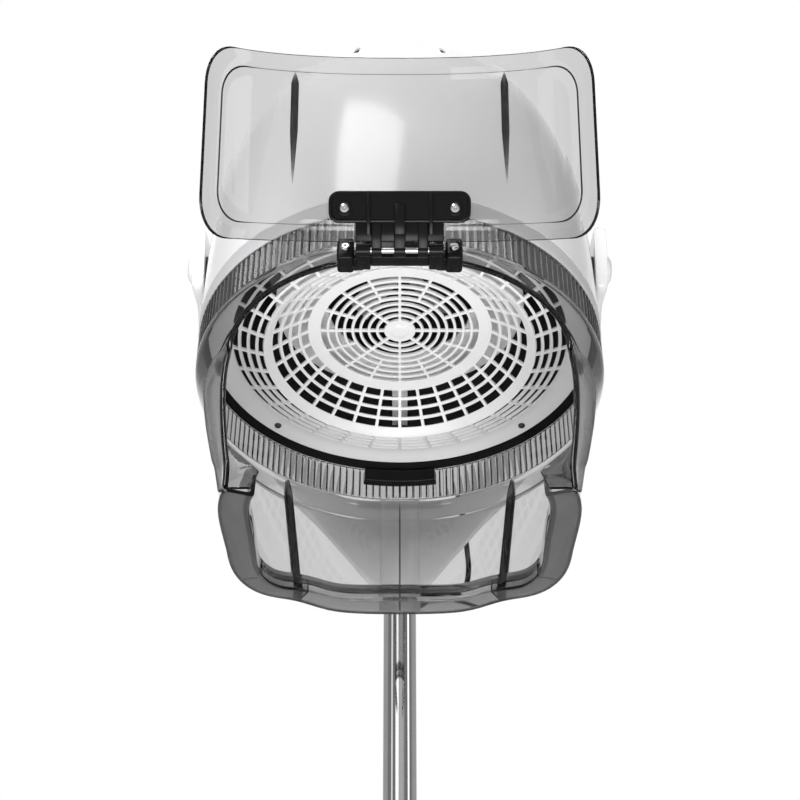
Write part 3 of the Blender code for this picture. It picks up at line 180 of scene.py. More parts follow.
whiteShell = mouldedPlastic("whiteShell", (0.80, 0.80, 0.80), (0.86, 0.86, 0.86), 0.16, coat=0.25)
whiteGrille = mouldedPlastic("whiteGrille", (0.82, 0.82, 0.82), (0.88, 0.88, 0.88), 0.38)
# Mid grey; on the trim ring this grey is painted shade on white plastic
paleTrimPaintedShade = mouldedPlastic("paleTrimPaintedShade", (0.50, 0.50, 0.51), (0.56, 0.56, 0.57), 0.36)
blackGloss = mouldedPlastic("blackGloss", (0.004, 0.004, 0.004), (0.009, 0.009, 0.009), 0.16, shine=0.12)
darkLining = mouldedPlastic("darkLining", (0.030, 0.030, 0.031), (0.050, 0.050, 0.051), 0.50)
blackSatin = mouldedPlastic("blackSatin", (0.018, 0.018, 0.019), (0.030, 0.030, 0.031), 0.42, 700, 0.1, shine=0.3)
smokeBonnet = smokePlastic("smokeBonnet", 150.0)
smokeCollar = smokePlastic("smokeCollar", 230.0)
smokeVisor = smokePlastic("smokeVisor", 180.0)
smokeLip = smokePlastic("smokeLip", 430.0)
smokeEdge = smokePlastic("smokeEdge", 520.0)
# Near-opaque: the dark look of clear edges painted as black lines
paintedEdgeShade = smokePlastic("paintedEdgeShade", 4000.0)
chrome = polishedMetal("chrome", (0.70, 0.70, 0.71), (0.80, 0.80, 0.81), 0.05)
plainSteel = polishedMetal("plainSteel", (0.42, 0.42, 0.43), (0.56, 0.56, 0.57), 0.24, (1, 1, 9))
innerSteel = polishedMetal("innerSteel", (0.07, 0.07, 0.07), (0.13, 0.13, 0.13), 0.40)
brightScrew = polishedMetal("brightScrew", (0.62, 0.62, 0.63), (0.74, 0.74, 0.75), 0.14)
castMetal = polishedMetal("castMetal", (0.56, 0.56, 0.57), (0.66, 0.66, 0.67), 0.17)
cordRubber = softRubber("cordRubber", (0.004, 0.004, 0.004), (0.010, 0.010, 0.010))
treadRubber = softRubber("treadRubber", (0.030, 0.030, 0.031), (0.050, 0.050, 0.051))
lampLens = mouldedPlastic("lampLens", (0.85, 0.22, 0.02), (0.95, 0.30, 0.04), 0.12)
print("finishes ready")


# Finished pieces: set in the frame, shaded and put on their body
def piece(bm, name, place, finish, body, stands=(), sharp=32):
    bmesh.ops.transform(bm, matrix=place, verts=bm.verts)
    mesh = bpy.data.meshes.new(name)
    bm.to_mesh(mesh)
    bm.free()
    mesh.shade_smooth()
    mesh.set_sharp_from_angle(angle=math.radians(sharp))
    mesh.materials.append(finish)
    made = bpy.data.objects.new(name, mesh)
    scene.collection.objects.link(made)
    if body:
        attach(made, body)
    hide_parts(*stands)
    return made


# Wall added to a sheet; its open edges stay sharp
def thicken(made, wall, offset=-1.0, lining=None):
    shape = bmesh.new()
    shape.from_mesh(made.data)
    for edge in shape.edges:
        edge.smooth = edge.smooth and not edge.is_boundary
    shape.to_mesh(made.data)
    shape.free()
    step = made.modifiers.new("wall", "SOLIDIFY")
    step.thickness = wall
    step.offset = offset
    step.use_even_offset = True
    if lining:
        made.data.materials.append(lining)
        step.material_offset = 1
    return made


def soften(made, width, segments=2, angle=35):
    step = made.modifiers.new("edges", "BEVEL")
    step.width = width
    step.segments = segments
    step.limit_method = "ANGLE"
    step.angle_limit = math.radians(angle)
    return made


# Corners of a profile turned into arcs, apart from its two ends
def rounded(points, radius, arc=4):
    smooth = [points[0]]
    for before, corner, after in zip(points, points[1:], points[2:]):
        middle = Vector(corner)
        inWay, outWay = Vector(before) - middle, Vector(after) - middle
        reach = min(radius, inWay.length * 0.45, outWay.length * 0.45)
        first, last = middle + inWay.normalized() * reach, middle + outWay.normalized() * reach
        for step in range(arc + 1):
            t = step / arc
            smooth.append(tuple(first * (1 - t) ** 2 + middle * 2 * t * (1 - t) + last * t * t))
    return [*smooth, points[-1]]


def turned(points, steps=48, closed=False):
    bm = bmesh.new()
    verts = [bm.verts.new((r, 0, h)) for r, h in points]
    ends = verts[1:] + verts[:1] if closed else verts[1:]
    edges = [bm.edges.new(pair) for pair in zip(verts, ends)]
    bmesh.ops.spin(
        bm, geom=verts + edges, axis=(0, 0, 1), cent=(0, 0, 0), dvec=(0, 0, 0),
        angle=2 * math.pi, steps=steps, use_merge=True, use_duplicate=False)
    bmesh.ops.remove_doubles(bm, verts=bm.verts, dist=1e-6)
    bmesh.ops.recalc_face_normals(bm, faces=bm.faces)
    return bm


def roundedRing(points, radius, steps, arc=3):
    loop = rounded([points[-1], *points, points[0]], radius, arc)
    return turned(loop[1:-1], steps, True)


# A grid bent to a shape: where() gives the place of each point from 0 to 1 across and along
def sheet(columns, rows, where, bm=None, leaveOut=None):
    bm = bm or bmesh.new()
    made = bmesh.ops.create_grid(bm, x_segments=columns, y_segments=rows, size=0.5)
    verts = made["verts"]
    if leaveOut:
        faces = {face for vert in verts for face in vert.link_faces}
        middles = [(face, face.calc_center_median()) for face in faces]
        spare = [
            face for face, middle in middles
            if leaveOut(int((middle.x + 0.5) * columns), int((middle.y + 0.5) * rows))]
        bmesh.ops.delete(bm, geom=spare, context="FACES")
    for vert in verts:
        if vert.is_valid:
            vert.co = where(vert.co.x + 0.5, vert.co.y + 0.5)
    return bm


# Seams merged, open ends filled where asked, and faces turned outward from a point inside
def closeUp(bm, inside=None, fill=False):
    bmesh.ops.remove_doubles(bm, verts=bm.verts, dist=2e-6)
    if fill:
        bmesh.ops.holes_fill(bm, edges=bm.edges, sides=0)
    bmesh.ops.recalc_face_normals(bm, faces=bm.faces)
    if inside is not None:
        away = sum((face.calc_center_median() - inside).dot(face.normal) * face.calc_area() for face in bm.faces)
        if away < 0:
            bmesh.ops.reverse_faces(bm, faces=bm.faces)
    return bm


# A box with rounded edges, between two corners
def block(bm, low, high, edge=0.001, segments=2, place=Matrix()):
    low, high = Vector(low), Vector(high)
    size = Matrix.Diagonal((*(high - low), 1))
    made = bmesh.ops.create_cube(bm, size=1, matrix=Matrix.Translation((low + high) / 2) @ size)
    edges = list({edge for vert in made["verts"] for edge in vert.link_edges})
    if edge:
        result = bmesh.ops.bevel(
            bm, geom=edges, offset=edge, affect="EDGES", segments=segments, profile=0.5, material=-1)
        verts = list({vert for face in result["faces"] for vert in face.verts} | {
            vert for vert in made["verts"] if vert.is_valid})
    else:
        verts = made["verts"]
    bmesh.ops.transform(bm, matrix=place, verts=verts)
    return bm


# A rod along Z of place
def rod(bm, radius, low, high, place=Matrix(), segments=24, endRadius=None):
    middle = place @ Matrix.Translation((0, 0, (low + high) / 2))
    made = bmesh.ops.create_cone(
        bm, cap_ends=True, segments=segments, radius1=radius,
        radius2=radius if endRadius is None else endRadius, depth=high - low, matrix=middle)
    return made["verts"]


def smoothRoute(route, perSpan):
    ends = [2 * route[0] - route[1], *route, 2 * route[-1] - route[-2]]
    points = []
    for before, first, second, after in zip(ends, ends[1:], ends[2:], ends[3:]):
        for step in range(perSpan):
            t = step / perSpan
            bend = (2 * before - 5 * first + 4 * second - after) * t * t
            twist = (3 * first - before - 3 * second + after) * t * t * t
            points.append((2 * first + (second - before) * t + bend + twist) / 2)
    return [*points, route[-1]]


# A section swept along a path: each path spot has its place and its two cross directions
def swept(spots, section, closedEnds=True):
    count = len(spots)

    def where(across, along):
        place, wide, high = spots[min(count - 1, round(along * (count - 1)))]
        x, y = section(across)
        return place + wide * x + high * y

    return closeUp(sheet(section.count, count - 1, where), fill=closedEnds)


# One shape added to another
def join(bm, shape):
    kept = bpy.data.meshes.new("kept")
    shape.to_mesh(kept)
    shape.free()
    bm.from_mesh(kept)
    bpy.data.meshes.remove(kept)


# A closed section for swept, from the points round it
def loopSection(points):
    loop = [*points, points[0]]

    def section(share):
        return loop[round(share * len(points))]

    section.count = len(points)
    return section


def roundSection(radius, count):
    angles = (2 * math.pi * step / count for step in range(count))
    return loopSection([(radius * math.cos(angle), radius * math.sin(angle)) for angle in angles])


# Rounded box section of a rail, set off from its path
def railSection(width, depth, corner, setOff=0.0, rise=0.0, arc=4):
    points = []
    for sideX, sideY, start in ((1, 1, 0), (-1, 1, 1), (-1, -1, 2), (1, -1, 3)):
        for step in range(arc + 1):
            angle = (start + step / arc) * math.pi / 2
            x = sideX * (width / 2 - corner) + corner * math.cos(angle)
            points.append((x + setOff, sideY * (depth / 2 - corner) + corner * math.sin(angle) + rise))
    return loopSection(points)


# Distance of each point of a line from its start, and the place at a distance
def runLengths(line):
    lengths = [0.0]
    for first, second in zip(line, line[1:]):
        lengths.append(lengths[-1] + (second - first).length)
    return lengths


def placeAlong(line, lengths, distance):
    index = min(max(bisect.bisect(lengths, distance) - 1, 0), len(line) - 2)
    share = (distance - lengths[index]) / (lengths[index + 1] - lengths[index])
    return index, line[index].lerp(line[index + 1], share)


# Points at equal steps along a line, from its start to its end
def evenSteps(line, count):
    lengths = runLengths(line)
    return [placeAlong(line, lengths, lengths[-1] * step / count)[1] for step in range(count + 1)]


# Cross directions carried along a path without twist
def pathSpots(points):
    spots = []
    wide = Vector((1, 0, 0))
    for index, point in enumerate(points):
        ahead = points[min(index + 1, len(points) - 1)] - points[max(index - 1, 0)]
        ahead.normalize()
        wide = (wide - ahead * wide.dot(ahead)).normalized()
        spots.append((point, wide, ahead.cross(wide)))
    return spots


# Camera at the photograph's viewing angle, plain floor, soft studio light
view = dict(back=-1.316, drop=-0.551, right=0.0002, look=21.0, lens=67.5, nearest=0.05)
studio = dict(
    floor=8.0, floorDrop=0.0005, floorTone=0.86, sides=0.38, wallFull=0.30, wallEnd=0.62, frontShare=0.50,
    frontTurn=0.2, front=8.0, low=6.5, lowSpread=75, left=2.0, right=4.0, top=35.0)


def makeCamera():
    data = bpy.data.cameras.new("camera")
    data.lens = view["lens"]
    data.clip_start = view["nearest"]
    camera = bpy.data.objects.new("camera", data)
    camera.location = ringCentre + Vector((view["right"], view["back"], view["drop"]))
    camera.rotation_euler = (math.radians(90 + view["look"]), 0, 0)
    scene.collection.objects.link(camera)
    scene.camera = camera


def makeFloor():
    shape = bmesh.new()
    bmesh.ops.create_grid(shape, x_segments=2, y_segments=2, size=studio["floor"])
    mesh = bpy.data.meshes.new("studioFloor")
    shape.to_mesh(mesh)
    shape.free()
    tone = studio["floorTone"]
    mesh.materials.append(Finish("paleFloor").set(Base_Color=(tone, tone, tone, 1), Roughness=0.6).material)
    studioFloor = bpy.data.objects.new("studioFloor", mesh)
    studioFloor.location.z = -studio["floorDrop"]
    scene.collection.objects.link(studioFloor)


# White wall behind the dryer, greyer at its sides and in front
def makeWorld():
    world = bpy.data.worlds.new("studio")
    world.use_nodes = True
    sky = world.node_tree
    way = sky.nodes.new("ShaderNodeTexCoord")
    parts = sky.nodes.new("ShaderNodeSeparateXYZ")
    wall = sky.nodes.new("ShaderNodeMapRange")
    front = sky.nodes.new("ShaderNodeMapRange")
    both = sky.nodes.new("ShaderNodeMath")
    both.operation = "MULTIPLY"
    aside = sky.nodes.new("ShaderNodeMath")
    aside.operation = "ABSOLUTE"
    turn = studio["frontTurn"]
    for ramp, source, low, high, ends in (
            (wall, aside.outputs["Value"], studio["wallFull"], studio["wallEnd"], (1.0, studio["sides"])),
            (front, parts.outputs["Y"], -turn, turn, (studio["frontShare"], 1.0))):
        ramp.interpolation_type = "SMOOTHSTEP"
        ramp.inputs["From Min"].default_value = low
        ramp.inputs["From Max"].default_value = high
        ramp.inputs["To Min"].default_value = ends[0]
        ramp.inputs["To Max"].default_value = ends[1]
        sky.links.new(source, ramp.inputs["Value"])
    sky.links.new(parts.outputs["X"], aside.inputs[0])
    sky.links.new(way.outputs["Generated"], parts.inputs["Vector"])
    sky.links.new(wall.outputs["Result"], both.inputs[0])
    sky.links.new(front.outputs["Result"], both.inputs[1])
    sky.links.new(both.outputs["Value"], sky.nodes["Background"].inputs["Color"])
    scene.world = world
    scene.view_settings.view_transform = "Standard"


def softLight(name, place, aim, width, height, power, spread=180):
    lamp = bpy.data.lights.new(name, "AREA")
    lamp.shape = "RECTANGLE"
    lamp.size = width
    lamp.size_y = height
    lamp.energy = power
    lamp.spread = math.radians(spread)
    made = bpy.data.objects.new(name, lamp)
    made.location = place
    made.rotation_euler = (Vector(aim) - Vector(place)).to_track_quat("-Z", "Y").to_euler()
    made.visible_camera = False
    scene.collection.objects.link(made)


makeCamera()
makeFloor()
makeWorld()
softLight("frontLight", (-0.9, -2.5, 2.0), ringCentre + Vector((0, 0, 0.2)), 0.9, 1.8, studio["front"])
softLight("lowLight", (0.0, -1.3, 0.16), ringCentre, 1.6, 0.8, studio["low"], studio["lowSpread"])
softLight("leftLight", (-1.9, -1.2, 1.9), ringCentre, 0.5, 1.8, studio["left"])
softLight("rightLight", (1.9, -0.9, 1.8), ringCentre, 0.5, 1.8, studio["right"])
softLight("topLight", (-0.68, -1.35, 3.0), ringCentre, 1.0, 1.8, studio["top"])
print("camera and studio ready")

# Hood cord, from the cap's gland down behind the yoke and into the socket grommet
cord = dict(
    radius=0.003, glandX=0.045, glandRise=0.040, glandLength=0.024, grommetDrop=0.172, grommetLength=0.014,
    socketRadius=0.022, gap=0.0003, sides=16, straight=0.018, straightEnd=0.014, perSpan=8)
cordRoute = [
    (0.0605, 0.249, -0.045), (0.066, 0.264, -0.066), (0.071, 0.272, -0.092), (0.0745, 0.2765, -0.120),
    (0.0755, 0.281, -0.140), (0.071, 0.2885, -0.158), (0.0585, 0.2945, -0.170)]


def makeCord():
    bearing = math.asin(cord["glandX"] / hood["ringRadius"])
    outward = Vector((math.sin(bearing), math.cos(bearing), 0))
    rise = Vector((0, 0, cord["glandRise"]))
    tip = hood["ringRadius"] + cord["glandLength"] + 2 * cord["gap"]
    start = hoodPlace @ (outward * tip + rise)
    heading = hoodPlace.to_3x3() @ outward
    radial = Vector((math.sqrt(0.5), math.sqrt(0.5), 0))
    socket = Vector((0, mastY, ringCentre.z - cord["grommetDrop"]))
    finish = socket + radial * (cord["socketRadius"] + cord["grommetLength"] + 2 * cord["gap"])
    route = [start, start + heading * cord["straight"], *(ringCentre + Vector(spot) for spot in cordRoute)]
    route += [finish + radial * cord["straightEnd"], finish]
    points = smoothRoute(route, cord["perSpan"])
    length = runLengths(points)[-1]
    shape = swept(pathSpots(points), roundSection(cord["radius"], cord["sides"]))
    made = piece(shape, "hoodCord", Matrix(), cordRubber, None, ["hood_cord"])
    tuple(points[2])
    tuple(points[-10])
    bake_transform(made)


makeCord()
print("cord ready")


def polar(radius, angle, height=0.0):
    return Vector((radius * math.cos(angle), radius * math.sin(angle), height))


def superellipse(halfWidth, depth, power, angle):
    x, y = math.sin(angle), math.cos(angle)
    bent = 2 / power
    return math.copysign(abs(x) ** bent, x) * halfWidth, math.copysign(abs(y) ** bent, y) * depth


# Rings of faces in sectors, each with one narrow column; leaveOut drops faces by ring and column of a sector
def ringGrid(circles, sectors, spread, narrow, leaveOut, bm=None):
    columns = sectors * spread
    pitch = 2 * math.pi / sectors

    def where(across, along):
        sector, step = divmod(round(across * columns), spread)
        radius, height = circles[round(along * (len(circles) - 1))]
        half = math.asin(narrow / 2 / radius)
        turn = half + (pitch - 2 * half) * (step - 1) / (spread - 1) if step else -half
        return polar(radius, sector * pitch + turn, height)

    return sheet(columns, len(circles) - 1, where, bm, lambda column, ring: leaveOut(ring, column % spread))


# White cap with its ring of air intake slots
cap = dict(
    height=0.325, power=3.6, circles=44, spread=14, trimTop=0.0193, panelRadius=0.074, panelHole=0.062,
    slots=12, slotWidth=0.005, slotLow=0.250, slotHigh=0.298, edge=0.0006)


def capRadius(height):
    return hood["ringRadius"] * (1 - (height / cap["height"]) ** cap["power"]) ** (1 / cap["power"])


capTop = cap["height"] * (1 - (cap["panelRadius"] / hood["ringRadius"]) ** cap["power"]) ** (1 / cap["power"])


def makeCap():
    def heightAt(share):
        return cap["height"] * math.cos(share) ** (2 / cap["power"])

    last = math.asin((cap["panelRadius"] / hood["ringRadius"]) ** (cap["power"] / 2))
    first = math.acos((cap["trimTop"] / cap["height"]) ** (cap["power"] / 2))
    count = cap["circles"]
    heights = [heightAt(first + (last - first) * step / count) for step in range(count + 1)]
    heights = sorted({*heights, cap["slotLow"], cap["slotHigh"]})
    circles = [(capRadius(height), height) for height in heights] + [(cap["panelHole"], capTop)]

    def isSlot(ring, step):
        middle = (circles[ring][1] + circles[ring + 1][1]) / 2
        return step == 0 and cap["slotLow"] < middle < cap["slotHigh"]

    shape = ringGrid(circles, cap["slots"], cap["spread"], cap["slotWidth"], isSlot)
    closeUp(shape, Vector((0, 0, cap["height"] / 3)))
    bmesh.ops.rotate(shape, verts=shape.verts, matrix=Matrix.Rotation(math.pi / cap["slots"], 3, "Z"))
    made = piece(shape, "capShell", hoodPlace, whiteShell, "hood", ["cap_shell"])
    soften(thicken(made, hood["wall"], lining=darkLining), cap["edge"])


makeCap()

# Trim ring in mid grey, which is painted shade on white plastic, fluted clear collar, black seal
rings = dict(
    gap=0.0003, trimTop=0.019, trimProud=0.0008, ledgeRadius=0.168, ledgeLow=0.0127, ledgeTop=0.0162, flutes=166,
    fluteDepth=0.0019, fluteSteps=8, fluteLength=0.036, fluteWall=0.0032, fluteEdge=0.0008, fluteRow=0.0030,
    sealTop=0.0124, sealLow=0.0002, sealInner=0.1813)


def makeRings():
    outer = hood["ringRadius"]
    bore = outer - hood["wall"]
    gap, proud, ledge = rings["gap"], outer + rings["trimProud"], rings["ledgeRadius"]
    trim = [
        (outer, gap), (proud, 0.004), (proud, 0.015), (outer, rings["trimTop"]), (bore, rings["trimTop"]),
        (bore, rings["ledgeTop"]), (ledge, rings["ledgeTop"]), (ledge, rings["ledgeLow"]), (bore, rings["ledgeLow"]),
        (bore, gap)]
    made = roundedRing(trim, 0.0008, hood["steps"])
    piece(made, "trimRing", hoodPlace, paleTrimPaintedShade, "hood", ["trim_ring"])
    columns = rings["flutes"] * rings["fluteSteps"]
    inner = outer - rings["fluteWall"]
    length, edge, row = rings["fluteLength"], rings["fluteEdge"], rings["fluteRow"]
    loop = [
        (inner, 0, 0), (outer - edge, 0, 0), (outer, -edge, 1), (outer, -row, 1), (outer, -length / 2, 1),
        (outer, row - length, 1), (outer, edge - length, 1), (outer - edge, -length, 0), (inner, -length, 0)]
    loop = [*loop, loop[0]]

    def where(across, along):
        radius, height, fluted = loop[round(along * (len(loop) - 1))]
        angle = 2 * math.pi * across
        valley = 1 - abs(math.cos(angle * rings["flutes"] / 2))
        return polar(radius - fluted * rings["fluteDepth"] * valley, angle, height)

    shape = closeUp(sheet(columns, len(loop) - 1, where))
    piece(shape, "flutedCollar", hoodPlace, smokeCollar, "hood", ["ribbed_collar"], 60)
    low, top, narrow = rings["sealLow"], rings["sealTop"], rings["sealInner"]
    seal = [
        (bore - gap, top), (bore - gap, low + 0.0006), (bore - 0.0010, low), (0.1846, low), (0.1836, low + 0.0006),
        (narrow, 0.0068), (narrow, top)]
    piece(roundedRing(seal, 0.001, 128), "rimSeal", hoodPlace, cordRubber, "hood", ["rim_seal"])


makeRings()
print("cap and rings ready")

# Clear bonnet: collar band, arch, side walls and rear wall in one sheet
bonnet = dict(
    start=0.0363, seat=0.0408, bandEnd=0.073, bandRadius=0.175, lipHalf=0.148, lipDepth=0.168, lipPower=4.0,
    rearPower=2.9, lipDrop=0.218, lipSlope=0.215, waveX=0.098, waveWidth=0.024, waveRise=0.006, archTop=0.051,
    archSpring=0.085, archPower=4.3, archSteps=88, edgeTop=0.096, edgeLow=0.118, rearColumns=72, upperRows=16,
    lowerRows=14)
lip = dict(
    width=0.024, pinch=0.24, height=0.014, wall=0.0032, corner=0.0028, seam=0.0006, seamX=0.097, seamY=0.080,
    lap=0.001, rail=0.0030, railTall=0.010, railSunk=0.0005, railCorner=0.0012, steps=60, perSpan=3)
tab = dict(
    wide=0.026, foot=0.020, low=0.004, widest=0.020, top=0.052, thick=0.0030, point=0.0012, corner=0.0015, steps=12)


# Half width, depth and power of the wall's outline at a drop below the ring; the rear is rounder than the front
def bonnetSection(drop, angle=math.pi):
    middle = hood["ringRadius"] - hood["wall"] / 2
    if drop <= bonnet["bandEnd"]:
        share = max(0, drop - bonnet["seat"]) / (bonnet["bandEnd"] - bonnet["seat"])
        radius = middle + (bonnet["bandRadius"] - middle) * share
        return radius, radius, 2.0
    share = (drop - bonnet["bandEnd"]) / (bonnet["lipDrop"] - bonnet["bandEnd"])
    halfWidth = bonnet["bandRadius"] + (bonnet["lipHalf"] - bonnet["bandRadius"]) * share
    depth = bonnet["bandRadius"] + (bonnet["lipDepth"] - bonnet["bandRadius"]) * share
    power = bonnet["rearPower"] if math.cos(angle) > 0 else bonnet["lipPower"]
    return halfWidth, depth, 2 + (power - 2) * min(share, 1)


# A point of the wall; the angle starts at the rear
def wallPoint(drop, angle):
    x, y = superellipse(*bonnetSection(min(drop, bonnet["lipDrop"]), angle), angle)
    return Vector((x, y, -drop))


# Angle of the front opening's upright edge
def edgeAngle(drop):
    _, depth, power = bonnetSection(min(drop, bonnet["lipDrop"]))
    share = (drop - bonnet["archSpring"]) / (bonnet["lipDrop"] - bonnet["archSpring"])
    edge = bonnet["edgeTop"] + (bonnet["edgeLow"] - bonnet["edgeTop"]) * min(1, max(0, share))
    return math.acos(-(edge / depth) ** (power / 2))


# Drop of the sloped lower edge, with its wave beside each rear rib
def lipDrop(angle):
    x, y = superellipse(*bonnetSection(bonnet["lipDrop"], angle), angle)
    wave = math.exp(-((abs(x) - bonnet["waveX"]) / bonnet["waveWidth"]) ** 2)
    return bonnet["lipDrop"] - bonnet["lipSlope"] * y - bonnet["waveRise"] * wave


# Drop and wall angle along the arch, in equal steps from the right side edge to the left one
def archSpots(count=bonnet["archSteps"]):
    spring = bonnet["archSpring"]
    halfWidth = wallPoint(spring, edgeAngle(spring)).x
    bends = (math.pi * (0.5 - step / 4000) for step in range(4001))
    size = halfWidth, spring - bonnet["archTop"], bonnet["archPower"]
    line = [Vector(superellipse(*size, bend)) for bend in bends]
    spots = []
    for x, rise in evenSteps(line, count):
        drop = spring - rise
        wide, _, power = bonnetSection(drop)
        spots.append((drop, math.pi - math.copysign(math.asin((abs(x) / wide) ** (power / 2)), x)))
    return spots


def makeBonnet():
    rearColumns, frontColumns = bonnet["rearColumns"], bonnet["archSteps"]
    columns = rearColumns + frontColumns
    spring = bonnet["archSpring"]
    first = edgeAngle(spring)
    begin = bonnet["start"]
    arch = archSpots()

    def upper(across, along):
        column = round(across * columns)
        if column <= rearColumns:
            angle = first * (2 * column / rearColumns - 1)
            end = spring
        else:
            share = (column - rearColumns) / frontColumns
            end, last = arch[column - rearColumns]
            angle = first + (2 * math.pi - 2 * first) * share
            angle += (last - angle) * along
        return wallPoint(begin + (end - begin) * along, angle)

    def lower(across, along):
        spot = 2 * across - 1
        end = lipDrop(edgeAngle(bonnet["lipDrop"]) * spot)
        drop = spring + (end - spring) * along
        return wallPoint(drop, edgeAngle(drop) * spot)

    shape = sheet(columns, bonnet["upperRows"], upper)
    sheet(rearColumns, bonnet["lowerRows"], lower, shape)
    closeUp(shape, Vector((0, 0, -0.1)))
    made = piece(shape, "bonnetShell", hoodPlace, smokeBonnet, "hood", ["bonnet"], 50)
    thicken(made, hood["wall"], 0.0)


# Path spots between two indices, pulled in at both ends so that the pieces meet in a seam
def cutSpots(spots, first, last):
    kept = list(spots[first:last + 1])
    for end, beside in ((0, 1), (-1, -2)):
        place, wide, high = kept[end]
        kept[end] = (place + (kept[beside][0] - place).normalized() * lip["seam"] / 2, wide, high)
    return kept


# Flange and inner upstand of the lip in one bent strip
def lipSection():
    inner, height, wall, lap = lip["width"], lip["height"], lip["wall"], lip["lap"]
    bend = [
        (-lap, 0), (inner, 0), (inner, height), (inner - wall, height), (inner - wall, wall), (-lap, wall)]
    return loopSection(rounded([bend[-1], *bend, bend[0]], lip["corner"], 4)[1:-1])


# Rail round the bonnet's lower opening, in five lengths
def makeLip():
    last = edgeAngle(bonnet["lipDrop"])
    angles = [last * (2 * step / lip["steps"] - 1) for step in range(lip["steps"] + 1)]
    points = smoothRoute([wallPoint(lipDrop(angle), angle) for angle in angles], lip["perSpan"])
    up = Vector((0, 0, 1))
    spots = []
    for index, point in enumerate(points):
        ahead = (points[min(index + 1, len(points) - 1)] - points[max(index - 1, 0)]).normalized()
        inward = Vector((ahead.y, -ahead.x, 0)).normalized()
        inward = inward if inward.dot(point) < 0 else -inward
        angle = last * (2 * index / (len(points) - 1) - 1)
        size = 1 - lip["pinch"] * max(0, math.cos(angle)) * abs(math.sin(angle)) * 2  # narrower at the rear corners
        spots.append((point, inward * size, (up - ahead * up.dot(ahead)).normalized()))
    half = len(spots) // 2
    side = min(range(half), key=lambda index: abs(points[index].y - lip["seamY"]))
    rear = min(range(side, half), key=lambda index: abs(points[index].x + lip["seamX"]))
    ends = [0, side, rear, len(spots) - 1 - rear, len(spots) - 1 - side, len(spots) - 1]
    section = lipSection()
    sides, rearLengthPaintedLight = bmesh.new(), bmesh.new()
    for first, final in zip(ends, ends[1:]):
        join(rearLengthPaintedLight if first == rear else sides, swept(cutSpots(spots, first, final), section))
    # The side lengths keep the darker lip smoke; the rear length takes the paler collar smoke as a painted highlight
    # for the light its curved face reflects
    piece(sides, "bonnetLip", hoodPlace, smokeLip, "hood", (), 60)
    piece(rearLengthPaintedLight, "rearLipPaintedLight", hoodPlace, smokeCollar, "hood", (), 60)
    inner = lip["width"] - lip["wall"] / 2
    rail = railSection(lip["rail"], lip["railTall"], lip["railCorner"], inner, lip["height"] - lip["railSunk"])
    piece(swept(spots, rail), "lipRail", hoodPlace, smokeEdge, "hood", (), 60)


# Pointed tabs above the lip's two front ends
def makeTabs():
    tabs = bmesh.new()
    front = lipDrop(edgeAngle(bonnet["lipDrop"]))
    section = railSection(tab["wide"], tab["thick"], tab["corner"], tab["wide"] / 2)
    for turn in (-1, 1):
        spots = []
        for step in range(tab["steps"] + 1):
            above = tab["low"] + (tab["top"] - tab["low"]) * step / tab["steps"]
            drop = front - above
            wide = tab["foot"] + (tab["wide"] - tab["foot"]) * (above - tab["low"]) / (tab["widest"] - tab["low"])
            if above > tab["widest"]:
                wide = tab["wide"] * (tab["top"] - above) / (tab["top"] - tab["widest"])
            share = max(wide, tab["point"]) / tab["wide"]
            edge = wallPoint(drop, turn * edgeAngle(drop)) + Vector((0, tab["thick"] / 2, 0))
            spots.append((edge, Vector((-turn * share, 0, 0)), Vector((0, 1, 0))))
        join(tabs, swept(spots, section))
    piece(tabs, "bonnetTabs", hoodPlace, smokeLip, "hood", (), 60)


ribs = dict(
    top=0.0405, low=0.176, topX=0.115, lowX=0.098, wide=0.0076, deep=0.007, line=0.0016, lineDeep=0.0038,
    corner=0.0007, sunk=0.001, point=0.16, steps=36)
bead = dict(width=0.0048, corner=0.0022, above=0.004, steps=40)


# Rear ribs, pointed at the collar, and the bead along the arch, made near-black as painted shade for the dark look of
# the clear edge
def makeBonnetRails():
    shape = bmesh.new()
    for side in (-1, 0, 1):
        spots = []
        for step in range(ribs["steps"] + 1):
            t = step / ribs["steps"]
            drop = ribs["top"] + (ribs["low"] - ribs["top"]) * t
            halfWidth, depth, power = bonnetSection(drop, 0)
            x = side * (ribs["topX"] + (ribs["lowX"] - ribs["topX"]) * t)
            y = depth * (1 - (abs(x) / halfWidth) ** power) ** (1 / power)
            size = min(1, 0.25 + 0.75 * t / ribs["point"])
            across = Vector((y, -x, 0)).normalized()
            spots.append((Vector((x, y, -drop)), across * size, Vector((x, y, 0)).normalized()))
        wide, deep = (ribs["wide"], ribs["deep"]) if side else (ribs["line"], ribs["lineDeep"])
        join(shape, swept(spots, railSection(wide, deep, ribs["corner"], 0.0, -ribs["sunk"])))
    piece(shape, "bonnetRibs", hoodPlace, smokeEdge, "hood", (), 60)
    front = lipDrop(edgeAngle(bonnet["lipDrop"])) - bead["above"]
    spring = bonnet["archSpring"]
    drops = [front + (spring - front) * step / bead["steps"] for step in range(bead["steps"])]
    arch = [wallPoint(drop, edgeAngle(drop)) for drop in drops]
    arch += [wallPoint(*spot) for spot in archSpots()]
    arch += [wallPoint(drop, -edgeAngle(drop)) for drop in reversed(drops)]
    line = swept(pathSpots(smoothRoute(arch, 2)), railSection(bead["width"], bead["width"], bead["corner"]))
    piece(line, "archBead", hoodPlace, paintedEdgeShade, "hood", (), 60)


# Widths of the front flanges at each drop
flange = dict(wall=0.003, back=0.35, widest=0.019, end=0.003, bend=6, above=0.001, corner=0.0014, steps=32)
flangeWidths = [(0.085, 0.0145), (0.120, 0.019), (0.167, 0.016), (0.210, 0.0125), (0.245, 0.0050)]


